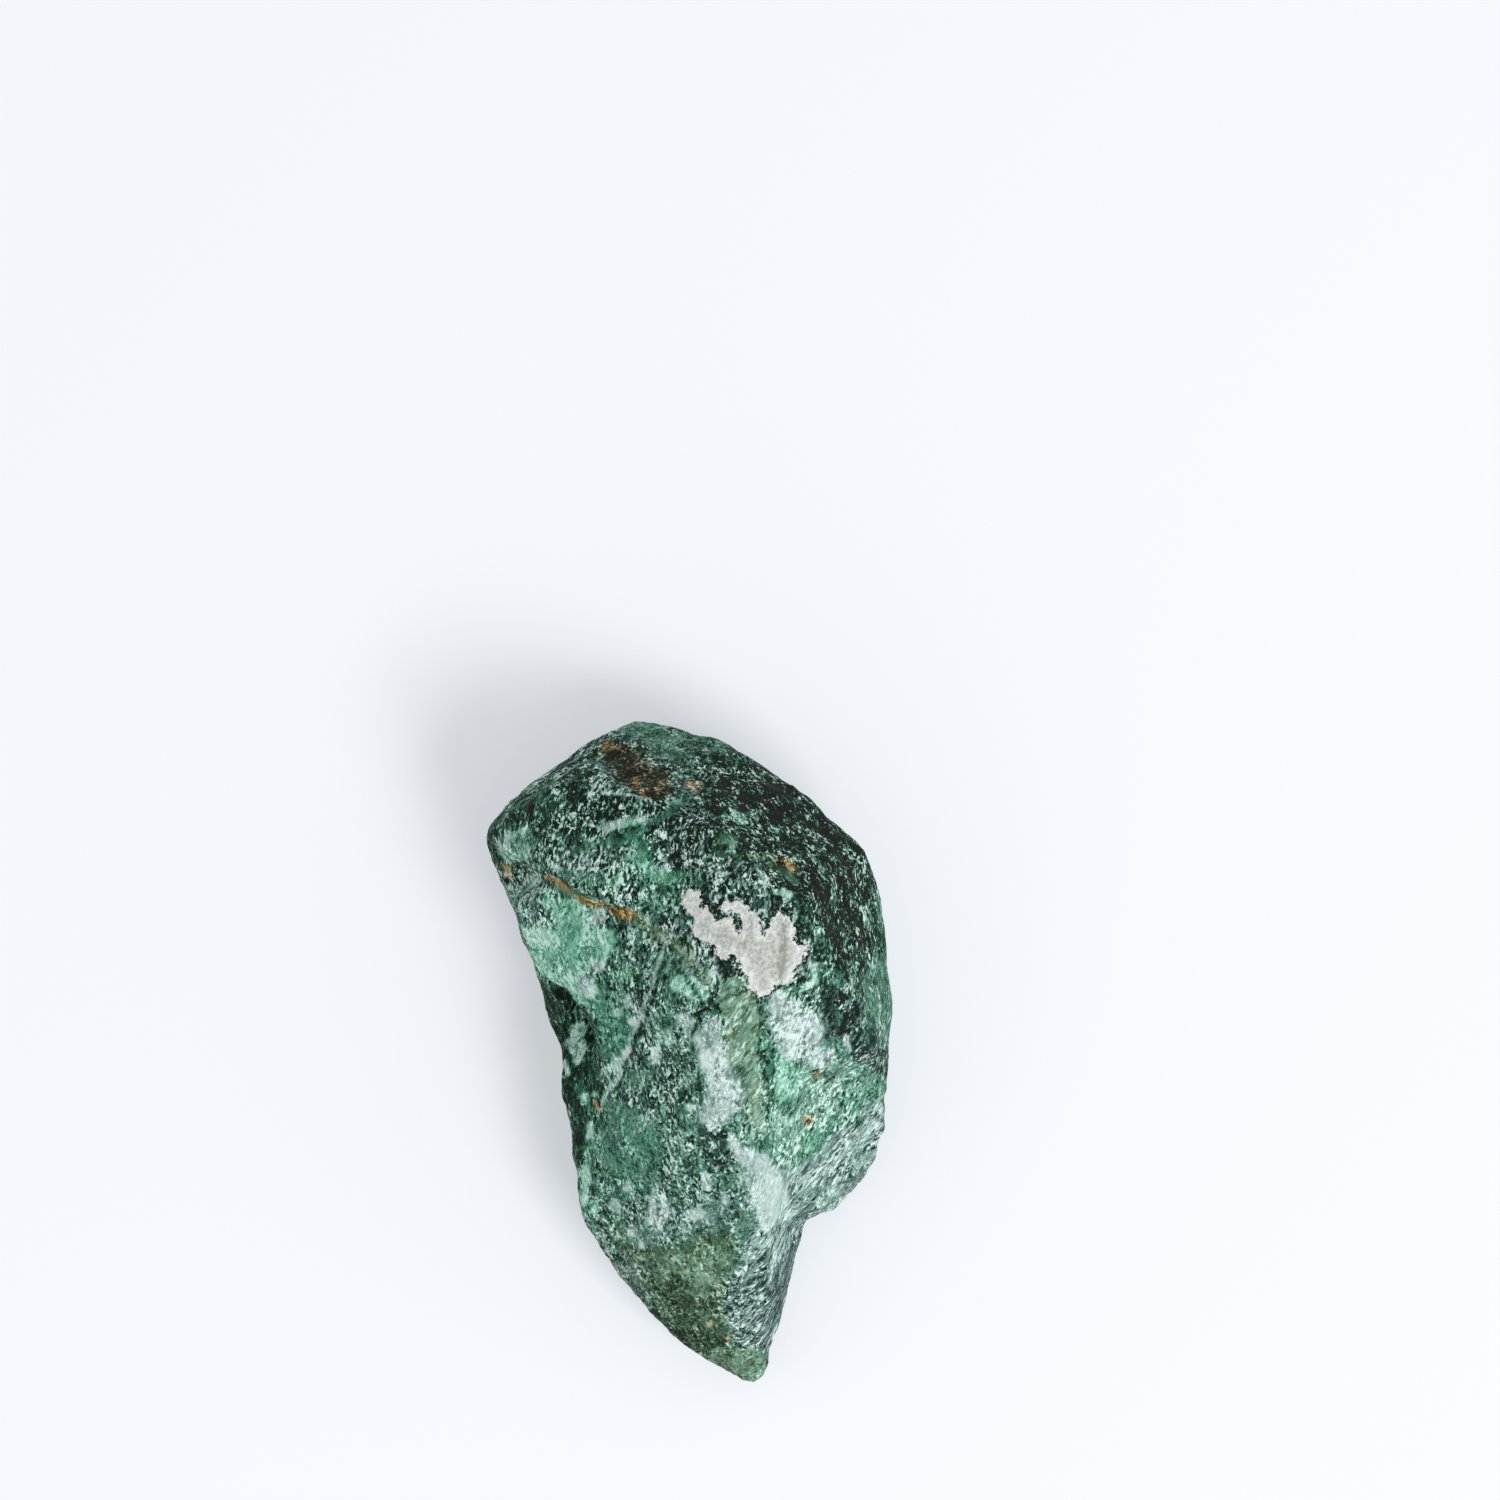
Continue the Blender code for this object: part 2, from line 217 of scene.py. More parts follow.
OLIVE = Finish(0.45, 0.11, 0.2, 0.75, 0.1, 0.0)
OLIVE_DARK = Finish(0.265, 0.10, 0.4, 1.0, 0.0, 0.0, 0.2)
RUST_DARK = Finish(0.09, 0.16, 0.0, 1.4, 0.5, 0.0)
ORANGE = Finish(0.44, 0.13, 0.0, 0.5, 1.1, 0.0)
CONTRAST = Finish(0.24, 0.25, 0.3, 0.1, 0.0, 0.3)
TEAL = Finish(0.32, 0.09, 0.6, 0.0, 0.0, 0.2)
TIP = Finish(0.48, 0.085, 0.6, 0.7, 0.0, 0.0, 0.2)
# Dark teal, partly by its own tone and partly by painted shade.
FACET_TONE_AND_SHADE = Finish(-0.01, 0.35, 2.8, 0.0, 0.0, 0.0, 0.2)
CALM_GREEN = Finish(0.57, 0.15, 0.45, 0.15, 0.0, 0.3)
MOSS = Finish(0.37, 0.1, 0.9, 0.9, 0.0, 0.0)
# Painted shade in creases and under ledges.
CREASE_SHADE = Finish(0.13, 0.09, 0.4, 0.5, 0.0, 0.0)
PLATE_EDGE = Finish(0.62, 0.27, 0.35, 0.0, 0.0, 0.4)

# Outlines in the photograph's pixels. A long thin marking is a route with a half width instead.
HUMP_AREA = [
    (470, 735), (600, 725), (640, 740), (690, 775), (712, 800), (716, 835), (708, 868), (690, 885),
    (676, 905), (655, 920), (632, 918), (603, 906), (565, 890), (545, 875), (520, 885), (470, 900),
]
UPPER_AREA = [
    (698, 760), (900, 760), (905, 870), (868, 905), (880, 945), (848, 975), (822, 955), (812, 925),
    (800, 900), (789, 892), (768, 881), (745, 862), (728, 850), (714, 835),
]
FACET_AREA = [
    (686, 800), (712, 798), (745, 806), (790, 824), (840, 856), (835, 878), (800, 868), (765, 852),
    (730, 838), (704, 828),
]
MIDDLE_AREA = [
    (690, 885), (708, 868), (745, 862), (789, 892), (812, 925), (822, 960), (800, 990), (770, 1000),
    (730, 990), (700, 985), (672, 950), (655, 925),
]
BODY_AREA = [
    (603, 906), (632, 918), (655, 920), (672, 950), (700, 985), (722, 1005), (700, 1040),
    (705, 1100), (735, 1170), (740, 1210), (620, 1230), (560, 1200), (560, 1040), (520, 990),
    (500, 900),
]
SIDE_AREA = [
    (540, 975), (575, 1004), (590, 1025), (600, 1055), (605, 1090), (598, 1130), (580, 1165),
    (540, 1170), (530, 1000),
]
RIGHT_AREA = [
    (775, 1180), (800, 1175), (850, 1120), (900, 1090), (900, 1180), (830, 1230), (770, 1400),
    (742, 1400), (738, 1350), (725, 1325), (722, 1295), (738, 1262), (752, 1228), (770, 1215),
]
BLUE_AREA = [
    (806, 1200), (815, 1215), (800, 1270), (780, 1320), (765, 1350), (750, 1345), (765, 1310),
    (778, 1270), (792, 1225),
]
LOBE_AREA = [
    (815, 1203), (822, 1190), (835, 1178), (848, 1163), (870, 1150), (890, 1145), (880, 1175),
    (850, 1205), (822, 1215),
]
CHALK_AREA = [
    (681, 903), (684, 897), (688, 890), (692, 889), (695, 893), (700, 891), (701, 899), (699, 906),
    (707, 907), (708, 913), (713, 915), (716, 921), (720, 920), (722, 918), (728, 918), (732, 920),
    (735, 926), (738, 933), (741, 932), (743, 926), (740, 915), (732, 911), (727, 912), (721, 909),
    (722, 904), (730, 901), (742, 902), (747, 906), (752, 912), (757, 916), (760, 922), (761, 930),
    (764, 934), (765, 927), (771, 929), (771, 919), (774, 915), (780, 912), (784, 914), (789, 919),
    (793, 924), (794, 933), (795, 942), (798, 948), (805, 943), (808, 946), (807, 953), (803, 960),
    (797, 965), (793, 975), (790, 984), (785, 984), (781, 981), (776, 983), (773, 989), (768, 994),
    (762, 996), (757, 992), (750, 990), (747, 984), (748, 975), (743, 971), (741, 962), (738, 960),
    (736, 954), (730, 953), (727, 958), (722, 960), (717, 955), (715, 948), (711, 943), (706, 941),
    (699, 940), (694, 936), (693, 927), (694, 920), (692, 913), (687, 910),
]
MINT_AREA = [
    (541, 903), (556, 898), (572, 901), (586, 908), (592, 925), (600, 930), (612, 930), (618, 942),
    (611, 955), (598, 963), (585, 970), (578, 978), (582, 992), (590, 1008), (575, 1000),
    (556, 984), (540, 972), (528, 952), (522, 930), (530, 926), (545, 929), (556, 927), (546, 914),
]
MINT_CORE = [
    (556, 912), (572, 905), (586, 914), (592, 940), (602, 936), (600, 955), (575, 968), (560, 955),
]
MINT_STREAK = [(522, 925), (545, 930), (563, 936), (556, 948), (535, 945), (524, 938)]
PLATE_CORNER = [
    (528, 878), (548, 880), (560, 898), (546, 906), (556, 926), (538, 926), (520, 912), (514, 890),
]
GREEN_BAND = [
    (592, 1005), (606, 1000), (622, 1012), (640, 1022), (636, 1038), (624, 1053), (612, 1062),
    (600, 1052), (596, 1030),
]
LEFT_GREEN = [
    (488, 822), (505, 800), (520, 788), (545, 782), (556, 798), (545, 815), (520, 826), (500, 834),
]
LEFT_CALM = [(500, 834), (528, 828), (540, 842), (530, 860), (508, 862), (495, 850)]
HUMP_GREEN = [
    (636, 842), (650, 842), (653, 862), (664, 870), (680, 868), (684, 882), (655, 886), (638, 878),
    (630, 862),
]
RUST_AREA = [
    (603, 742), (620, 745), (640, 757), (660, 768), (672, 778), (670, 795), (655, 803), (645, 800),
    (632, 793), (625, 783), (612, 770), (603, 757),
]
SPECKLE_AREA = [
    (656, 828), (668, 815), (690, 803), (705, 806), (714, 830), (712, 850), (705, 865), (690, 868),
    (672, 868), (655, 862), (650, 845),
]
SPOON_AREA = [(704, 846), (716, 852), (733, 852), (745, 860), (735, 871), (722, 872), (712, 866)]
GREEN_MARGIN = [(793, 900), (808, 902), (822, 930), (822, 955), (812, 950), (800, 930)]
RIGHT_DARK = [
    (800, 1000), (815, 988), (830, 980), (860, 1000), (875, 1030), (895, 1060), (890, 1078),
    (868, 1072), (852, 1056), (838, 1036), (824, 1042), (815, 1020),
]
PALE_AREA = [
    (775, 993), (786, 991), (790, 1000), (800, 1005), (812, 1010), (825, 1025), (822, 1045),
    (832, 1055), (820, 1065), (800, 1060), (785, 1055), (775, 1045), (770, 1025), (768, 1010),
]
PINK_EDGE = [(775, 995), (785, 993), (783, 1005), (777, 1015), (770, 1020), (768, 1008)]
EMERALD_AREA = [
    (757, 1040), (768, 1036), (785, 1052), (812, 1062), (838, 1058), (858, 1080), (868, 1105),
    (850, 1125), (828, 1140), (805, 1158), (795, 1172), (775, 1160), (765, 1135), (762, 1100),
    (757, 1065),
]
EMERALD_STRIPE = [
    (757, 1040), (768, 1042), (778, 1050), (778, 1075), (777, 1112), (770, 1115), (764, 1090),
    (758, 1065),
]
EMERALD_CORE = [
    (780, 1055), (795, 1065), (800, 1080), (795, 1100), (785, 1105), (777, 1095), (776, 1075),
]
SAGE_AREA = [
    (722, 985), (740, 975), (748, 990), (758, 1000), (760, 1020), (757, 1060), (762, 1100),
    (768, 1125), (760, 1130), (745, 1105), (735, 1100), (728, 1080), (724, 1050), (728, 1030),
    (722, 1005),
]
PALE_STREAK = [
    (708, 1012), (722, 1016), (722, 1035), (726, 1060), (742, 1080), (745, 1108), (732, 1116),
    (716, 1130), (703, 1132), (700, 1115), (705, 1095), (703, 1075), (697, 1062), (693, 1045),
    (703, 1035),
]
PALE_BAND = [
    (727, 1133), (736, 1138), (742, 1150), (755, 1150), (768, 1155), (778, 1170), (785, 1185),
    (790, 1200), (785, 1215), (775, 1222), (765, 1235), (760, 1228), (755, 1215), (747, 1195),
    (745, 1170), (735, 1158), (728, 1148),
]
DARK_NOTCH = [
    (698, 1122), (706, 1130), (715, 1135), (725, 1130), (728, 1150), (735, 1165), (725, 1170),
    (712, 1165), (703, 1150), (697, 1140),
]
OLIVE_FOOT = [
    (650, 1300), (680, 1270), (715, 1240), (735, 1262), (722, 1295), (725, 1325), (738, 1350),
    (720, 1362), (680, 1345),
]
YELLOW_GREEN = [(672, 1240), (728, 1232), (735, 1255), (720, 1290), (690, 1285)]
TIP_AREA = [(716, 1345), (738, 1350), (752, 1345), (770, 1360), (765, 1395), (735, 1390), (700, 1360)]
FOOT_EDGE = [
    (575, 1205), (600, 1215), (625, 1250), (655, 1290), (680, 1325), (672, 1340), (630, 1300),
    (590, 1245),
]
HUMP_LOW_AREA = [
    (548, 862), (570, 848), (610, 846), (640, 850), (640, 880), (632, 905), (600, 902), (560, 884),
]
RIGHT_TOP = [
    (780, 1172), (800, 1165), (840, 1130), (868, 1120), (866, 1140), (822, 1180), (800, 1215),
    (785, 1225),
]
BODY_LEFT = [
    (598, 1095), (625, 1100), (655, 1120), (665, 1165), (650, 1195), (615, 1195), (592, 1165),
    (590, 1120),
]
FOOT_LEFT = [
    (610, 1245), (650, 1248), (690, 1250), (715, 1262), (705, 1290), (690, 1340), (650, 1310),
    (615, 1265),
]
HUMP_RIGHT = [(622, 870), (660, 866), (695, 872), (692, 895), (670, 915), (640, 915), (622, 900)]
GREY_MIDDLE = [(618, 1040), (645, 1030), (682, 1050), (685, 1100), (650, 1115), (620, 1100)]

# Lines, and spots where there is one point: the half width and the points, in pixels.
Stroke = namedtuple("Stroke", "half_width points")
RIDGE_STROKES = [
    Stroke(5, [
        (575, 850), (597, 842), (622, 842), (634, 836), (642, 828), (655, 820), (668, 812), (682, 804),
        (690, 796),
    ]),
]
VEIN_HALO = [
    Stroke(5, [(552, 878), (565, 890), (588, 901), (612, 909)]),
    Stroke(7.5, [(632, 916), (645, 922), (655, 930), (668, 942), (690, 958), (702, 975)]),
]
OLIVE_STROKES = [
    Stroke(3.5, [(752, 856), (765, 862), (790, 880)]),
    Stroke(7, [(768, 857), (795, 878)]),
]
CALM_STROKES = [
    Stroke(6, [(722, 838), (733, 846)]),
]
DARK_STROKES = [
    # Dark partly by painted shade under a neighbouring lump.
    Stroke(5, [(800, 905), (812, 930)]),
]
EMERALD_STROKES = [
    Stroke(5, [(803, 932), (806, 940)]),
    Stroke(4, [(788, 987), (794, 987)]),
    Stroke(7, [(850, 1100), (853, 1112)]),
    Stroke(5, [(830, 1117), (838, 1117)]),
    Stroke(7, [(808, 1140), (822, 1130)]),
    Stroke(6, [(803, 1155), (812, 1149)]),
    Stroke(4, [(768, 1140), (778, 1152)]),
]
MINT_STROKES = [
    Stroke(4, [(778, 893), (790, 893)]),
    Stroke(4, [(815, 967), (814, 980), (806, 988)]),
    Stroke(5, [(585, 1170), (584, 1200)]),
    Stroke(4, [(595, 1210)]),
    Stroke(11, [(684, 984), (698, 992)]),
]
GREY_STROKES = [
    Stroke(3.5, [(757, 868), (765, 878), (768, 890), (768, 905), (765, 915)]),
    Stroke(7, [(711, 898)]),
    Stroke(6, [(715, 972)]),
    Stroke(5, [(679, 922)]),
]
PALE_STROKES = [
    Stroke(5, [(608, 828), (626, 822), (642, 820)]),
    Stroke(2, [(605, 790), (625, 796), (650, 801)]),
    # A painted highlight along the rim of the spoon-shaped area.
    Stroke(1.2, [
        (701, 838), (706, 855), (713, 868), (722, 874), (733, 873), (743, 863), (752, 868), (762, 875),
    ]),
    Stroke(5, [(845, 1037), (846, 1048)]),
    Stroke(5, [(815, 967)]),
    # A painted highlight along the plate's edge.
    Stroke(2, [(662, 955), (650, 990), (640, 1020), (628, 1045), (615, 1075), (606, 1100)]),
    Stroke(2.5, [(564, 1062), (564, 1076)]),
    Stroke(4, [(586, 1095)]),
    Stroke(4, [(589, 1128), (591, 1137)]),
    Stroke(5, [(692, 1107)]),
    Stroke(6, [(706, 1176), (706, 1184)]),
    Stroke(6, [(726, 1198)]),
    Stroke(6, [(688, 1213), (697, 1212)]),
    Stroke(5, [(615, 1200), (616, 1208)]),
    Stroke(4, [(627, 1186)]),
    Stroke(4.5, [(630, 1234)]),
    Stroke(4, [(641, 1245)]),
    Stroke(5, [(657, 1050), (657, 1060)]),
    Stroke(9, [(684, 1022), (694, 1034)]),
    Stroke(6.5, [(590, 964), (598, 964)]),
    Stroke(7, [(628, 1000)]),
    Stroke(5.5, [(617, 1014)]),
    Stroke(8, [(584, 983), (590, 990)]),
    Stroke(4, [(616, 1062), (617, 1075)]),
    Stroke(1.2, [(746, 1150), (752, 1190), (760, 1228), (748, 1260), (738, 1290)]),
]
WHITE_STROKES = [
    Stroke(8, [(580, 1030)]),
    Stroke(9, [(574, 1044), (577, 1058)]),
    Stroke(4, [(598, 1095)]),
    Stroke(4, [(655, 1195), (650, 1205), (652, 1218), (660, 1228), (666, 1218), (665, 1200)]),
    Stroke(6.5, [(594, 914), (594, 924)]),
]
PINK_STROKES = [
    Stroke(4.5, [(632, 1022), (637, 1023)]),
    Stroke(4, [(625, 1050), (627, 1056)]),
]
# Painted shade: thin dark lines along creases and under the plate's ledges.
CREASE_SHADE_STROKES = [
    Stroke(1.3, [(668, 955), (657, 988), (647, 1018), (635, 1044), (622, 1074), (612, 1098)]),
    Stroke(1.4, [(757, 990), (759, 1015), (762, 1045), (763, 1075), (768, 1094)]),
    Stroke(1.2, [(700, 1012), (690, 1040), (697, 1075), (699, 1100)]),
    Stroke(1.4, [(556, 984), (575, 1002), (592, 1024), (600, 1052), (604, 1085)]),
    Stroke(1.2, [(706, 1008), (690, 985), (672, 962)]),
]
RUSTY_STROKES = [
    Stroke(2.2, [(549, 876), (558, 883), (566, 890)]),
    Stroke(3, [(575, 897), (588, 902), (598, 904)]),
    Stroke(4.5, [(609, 909), (620, 911), (630, 914)]),
    Stroke(3.5, [(633, 779), (638, 786), (644, 794)]),
    Stroke(3, [(605, 745), (618, 750)]),
    Stroke(3, [(689, 784), (699, 788)]),
    Stroke(4, [(506, 866), (508, 876)]),
    Stroke(3, [(785, 864), (793, 873)]),
    Stroke(4.5, [(807, 1122)]),
    Stroke(3.5, [(815, 1075)]),
    Stroke(4, [(598, 1105)]),
    Stroke(2.5, [(728, 1337)]),
    Stroke(2.5, [(709, 1322)]),
    Stroke(1.6, [(772, 856), (782, 862)]),
]
# The order in which the strokes are painted.
STROKES = [
    (TEAL, RIDGE_STROKES),
    (OLIVE, VEIN_HALO),
    (GREEN_CALM, OLIVE_STROKES),
    (GREEN_CALM, CALM_STROKES),
    (GREEN_DARK, DARK_STROKES),
    (EMERALD_DEEP, EMERALD_STROKES),
    (MINT_PALE, MINT_STROKES),
    (LOBE, GREY_STROKES),
    (PALE_SPOT, PALE_STROKES),
    (PALE, WHITE_STROKES),
    (PINK, PINK_STROKES),
    (CREASE_SHADE, CREASE_SHADE_STROKES),
    (ORANGE, RUSTY_STROKES),
]

# Soft touches of dark and light on top of the finishes, as strokes. They are partly the rock's own tone
# and partly painted shade and painted light.
DARKER = [
    Stroke(9, [(762, 1312)]),
    Stroke(9, [(668, 1206), (690, 1186)]),
    # Painted shadow of a neighbouring lump at the right-hand corner.
    Stroke(10, [(798, 890), (802, 912)]),
    Stroke(9, [(540, 912), (538, 924)]),
    Stroke(7, [(578, 932)]),
    Stroke(6, [(705, 967)]),
    Stroke(8, [(675, 980)]),
    Stroke(6, [(735, 1078)]),
    Stroke(7, [(752, 1002)]),
    Stroke(8, [(770, 995)]),
    Stroke(9, [(785, 1112)]),
    Stroke(9, [(822, 1070)]),
    Stroke(7, [(838, 1182), (858, 1176)]),
    Stroke(8, [(812, 1176)]),
    Stroke(8, [(796, 1200)]),
    Stroke(6, [(744, 1162)]),
    Stroke(7, [(745, 1245)]),
    Stroke(10, [(760, 1290), (772, 1300)]),
    Stroke(10, [(748, 1292), (768, 1290)]),
    Stroke(9, [(690, 1316)]),
]
MUCH_DARKER = [
    Stroke(10, [(572, 822), (600, 818), (640, 806)]),
    # Painted shadow along the upper facet's top edge.
    Stroke(10, [(740, 808), (775, 815), (822, 832)]),
    Stroke(9, [(630, 858)]),
    Stroke(9, [(668, 908), (665, 932)]),
    Stroke(9, [(588, 974), (598, 978)]),
    Stroke(9, [(768, 1000)]),
    Stroke(10, [(856, 1040)]),
    Stroke(12, [(565, 814), (595, 812)]),
    Stroke(8, [(615, 868), (616, 903)]),
    Stroke(11, [(655, 892), (685, 888)]),
    # Painted shadow under the ledge of the spoon-shaped area.
    Stroke(11, [(695, 840), (700, 862)]),
    Stroke(11, [(745, 878), (775, 866)]),
    Stroke(7, [(628, 928), (626, 960)]),
    Stroke(11, [(645, 995), (652, 1015)]),
    Stroke(9, [(712, 1014), (700, 1028)]),
    Stroke(10, [(665, 1065), (682, 1070)]),
    Stroke(6, [(660, 1103)]),
    Stroke(8, [(812, 1012)]),
    Stroke(8, [(850, 1030)]),
    Stroke(7, [(742, 1282)]),
    Stroke(11, [(812, 1162), (850, 1135)]),
    Stroke(7, [(738, 1074), (744, 1100)]),
]
LIGHTER = [
    Stroke(12, [(507, 868), (512, 882)]),
    Stroke(8, [(760, 1118), (762, 1146)]),
    Stroke(8, [(580, 838), (603, 850)]),
    Stroke(8, [(620, 835), (640, 838)]),
    Stroke(9, [(672, 805), (700, 812), (738, 825)]),
    Stroke(7, [(652, 872), (664, 872)]),
    Stroke(9, [(628, 905), (645, 900), (655, 912)]),
    Stroke(8, [(686, 965)]),
    Stroke(9, [(606, 992), (612, 1012)]),
    Stroke(11, [(684, 1146), (716, 1150)]),
    Stroke(9, [(648, 1145)]),
    Stroke(8, [(765, 1118), (765, 1138)]),
    Stroke(13, [(812, 1115), (812, 1140)]),
    Stroke(8, [(790, 1170)]),
    Stroke(8, [(746, 1200)]),
    Stroke(8, [(712, 1192)]),
    Stroke(9, [(586, 1045), (588, 1105)]),
    Stroke(8, [(626, 1232), (645, 1236)]),
    Stroke(10, [(692, 1270), (708, 1292), (712, 1325)]),
    Stroke(10, [(768, 1240), (780, 1250)]),
    Stroke(9, [(828, 1103), (862, 1080)]),
    Stroke(8, [(695, 878)]),
    Stroke(8, [(796, 1060)]),
]
MUCH_LIGHTER = [
    Stroke(11, [(538, 856), (535, 878), (515, 880)]),
    Stroke(9, [(655, 876)]),
    Stroke(8, [(645, 915)]),
    Stroke(8, [(742, 857)]),
    Stroke(9, [(650, 1072), (664, 1042)]),
    Stroke(9, [(702, 1066)]),
    Stroke(10, [(800, 1153)]),
    Stroke(9, [(811, 995)]),
    Stroke(9, [(788, 1226), (778, 1240), (760, 1256)]),
    Stroke(10, [(704, 1290)]),
    Stroke(10, [(579, 1118), (587, 1108)]),
    Stroke(9, [(705, 896)]),
    Stroke(7, [(664, 1038)]),
    Stroke(8, [(702, 1062), (708, 1074)]),
    Stroke(10, [(660, 1268), (698, 1270)]),
    Stroke(8, [(727, 1261)]),
    Stroke(8, [(676, 1226), (688, 1226)]),
]
# A touch is strongest along its points and has faded out at this many half widths from them.
TOUCH_REACH = 2.0
# What each group of touches adds to a finish.
TOUCHES = [
    ({"light": -0.08}, DARKER),
    ({"light": -0.15}, MUCH_DARKER),
    ({"light": 0.08}, LIGHTER),
    ({"light": 0.17}, MUCH_LIGHTER),
    ({"green": 1.2, "light": 0.04}, [Stroke(14, [(735, 832), (765, 845), (795, 865)])]),
    ({"light": -0.12}, [Stroke(10, [(782, 856)])]),
    ({"green": 0.4}, [Stroke(14, [(590, 1225), (612, 1245)])]),
    ({"light": -0.1, "green": 0.5, "olive": 0.5}, [Stroke(12, [(645, 1315), (690, 1350), (720, 1372)])]),
    ({"light": 0.05, "grey": 0.2}, [Stroke(14, [(612, 1110), (612, 1160)])]),
    ({"green": 0.5}, [Stroke(16, [(560, 885), (600, 890), (632, 870), (632, 840)])]),
    ({"green": 0.3, "grey": 0.3}, [Stroke(14, [(575, 1020), (580, 1090), (585, 1140)])]),
    ({"green": 0.4, "grey": -0.2}, [Stroke(14, [(622, 975), (592, 1020), (590, 1100)])]),
    ({"green": 0.2, "olive": 0.4}, [Stroke(18, [(600, 1235), (640, 1280), (680, 1320)])]),
    ({"green": -0.3}, [Stroke(20, [(750, 1195), (720, 1215), (630, 1232)])]),
    ({"grey": 0.4}, [Stroke(16, [(605, 950), (635, 975)])]),
    ({"grey": 0.3}, [Stroke(20, [(815, 1030), (850, 1070)])]),
    ({"olive": 0.2}, [Stroke(18, [(700, 845), (760, 870), (800, 890)])]),
]

# Areas in the order they are painted: (finish, outline, how many pixels the edge fades over).
# The first is a soft shade that reaches far out of its outline, and the others lie over it.
AREAS = [
    (HUMP_DARK, UPPER_AREA, 90),
    (HUMP, HUMP_AREA, 8),
    # The upper facet is dark partly by its own tone and partly by painted shade, as a neighbouring lump
    # shadows it.
    (UPPER_TONE_AND_SHADE, UPPER_AREA, 26),
    (FACET_TONE_AND_SHADE, FACET_AREA, 7),
    (CONTRAST, MIDDLE_AREA, 10),
    (BODY, BODY_AREA, 12),
    (BODY_GREEN, BODY_LEFT, 14),
    (BODY_GREY, GREY_MIDDLE, 12),
    (FOOT, FOOT_LEFT, 12),
    (GREEN_SPECKLE, HUMP_RIGHT, 8),
    (SHADE_SIDE, SIDE_AREA, 8),
    (HUMP_LOW, HUMP_LOW_AREA, 8),
    (STREAKS, RIGHT_AREA, 8),
    (STREAKS_HIGH, RIGHT_TOP, 10),
    (BLUE_EDGE, BLUE_AREA, 8),
    (LOBE, LOBE_AREA, 4),
    (GREEN_DARK, LEFT_GREEN, 6),
    (CALM_GREEN, LEFT_CALM, 6),
    (EMERALD_DEEP, HUMP_GREEN, 5),
    # The rusty facet is dark partly by its own colour and partly by painted shade, as it faces away
    # under a neighbouring lump.
    (RUST_DARK, RUST_AREA, 6),
    (SPECKLE, SPECKLE_AREA, 5),
    (CONTRAST, SPOON_AREA, 4),
    # The right margin by the chalk is dark green, partly by painted shade under a neighbouring lump.
    (GREEN_DARK, GREEN_MARGIN, 5),
    (PLATE_EDGE, PLATE_CORNER, 4),
    (MINT, MINT_AREA, 3),
    (MINT_DEEP, MINT_CORE, 6),
    (MINT_PALE, MINT_STREAK, 4),
    (EMERALD_CALM, GREEN_BAND, 5),
    (HUMP_DARK, RIGHT_DARK, 6),
    (EMERALD, EMERALD_AREA, 9),
    (MINT, EMERALD_CORE, 5),
    (EMERALD_DEEP, EMERALD_STRIPE, 4),
    (PALE, PALE_AREA, 8),
    (PINK, PINK_EDGE, 3),
    (SAGE, SAGE_AREA, 6),
    (PALE, PALE_STREAK, 10),
    (PALE_CALM, PALE_BAND, 5),
    (HUMP_DARK, DARK_NOTCH, 5),
    (OLIVE_DARK, OLIVE_FOOT, 14),
    (MOSS, YELLOW_GREEN, 10),
    (TIP, TIP_AREA, 6),
    (BLUE_EDGE, FOOT_EDGE, 8),
]
# How many pixels a stroke's side fades over.
STROKE_EDGE = 3.0

# The outlines are made ragged: (size in mm, reach in pixels), and where the noise is read.
RAGGED = [(2.6, 5.0), (0.9, 2.4), (0.4, 1.0)]
ACROSS_SHIFT = 3.1
DOWN_SHIFT = 17.7

# Rock takes the markings seen from above where it faces up: not below the first upward part of its
# normal, and fully above the second. Noise of a size in mm makes the line between ragged.
LEAST_UPWARD = 0.02
FULLY_UPWARD = 0.3
TURN_RAGGED = 0.12
TURN_SIZE = 2.5
# The sides take these finishes in patches of a size in mm, which fade in between two noise values.
SIDE_FINISHES = [BODY, SHADE_SIDE, BODY_GREY, GREEN_CALM, HUMP, BODY_GREEN]
PATCH_SIZE = 9.0
PATCH_STARTS = 0.0
PATCH_FULL = 0.4
# How far apart the noise is read for one finish and the next.
SHIFT = 11.3

# The soft fold in the chalk, where shade is painted, and how far that shade fades, in pixels.
CHALK_FOLD = [(785, 922), (784, 945), (780, 978)]
CHALK_FOLD_WIDTH = 7.0
# The depth in mm that stands for no chalk, on rock that faces down.
NO_CHALK = -1.0

# Keeps a route of one point from dividing by zero.
LEAST_STEP = 1e-9


def photo_pixels(places):
    """Where points in mm show in the photograph's frame."""
    nearness = 1.0 - places[:, 2] / CAMERA_HEIGHT
    across = PHOTO_MIDDLE + (places[:, 0] - CAMERA_X) * PIXELS_PER_MM / nearness
    down = PHOTO_MIDDLE - (places[:, 1] - CAMERA_Y) * PIXELS_PER_MM / nearness
    return np.stack([across, down], axis=1)


def distance_to_route(pixels, points, closed):
    """The distance of each pixel from a line through the points."""
    ends = list(zip(points, points[1:] + points[:1] if closed else points[1:]))
    if not ends:
        ends = [(points[0], points[0])]
    best = np.full(len(pixels), np.inf)
    for start, end in ends:
        start = np.array(start, float)
        step = np.array(end, float) - start
        along = (pixels - start) @ step / max(step @ step, LEAST_STEP)
        nearest = start + np.clip(along, 0.0, 1.0)[:, None] * step
        best = np.minimum(best, np.linalg.norm(pixels - nearest, axis=1))
    return best


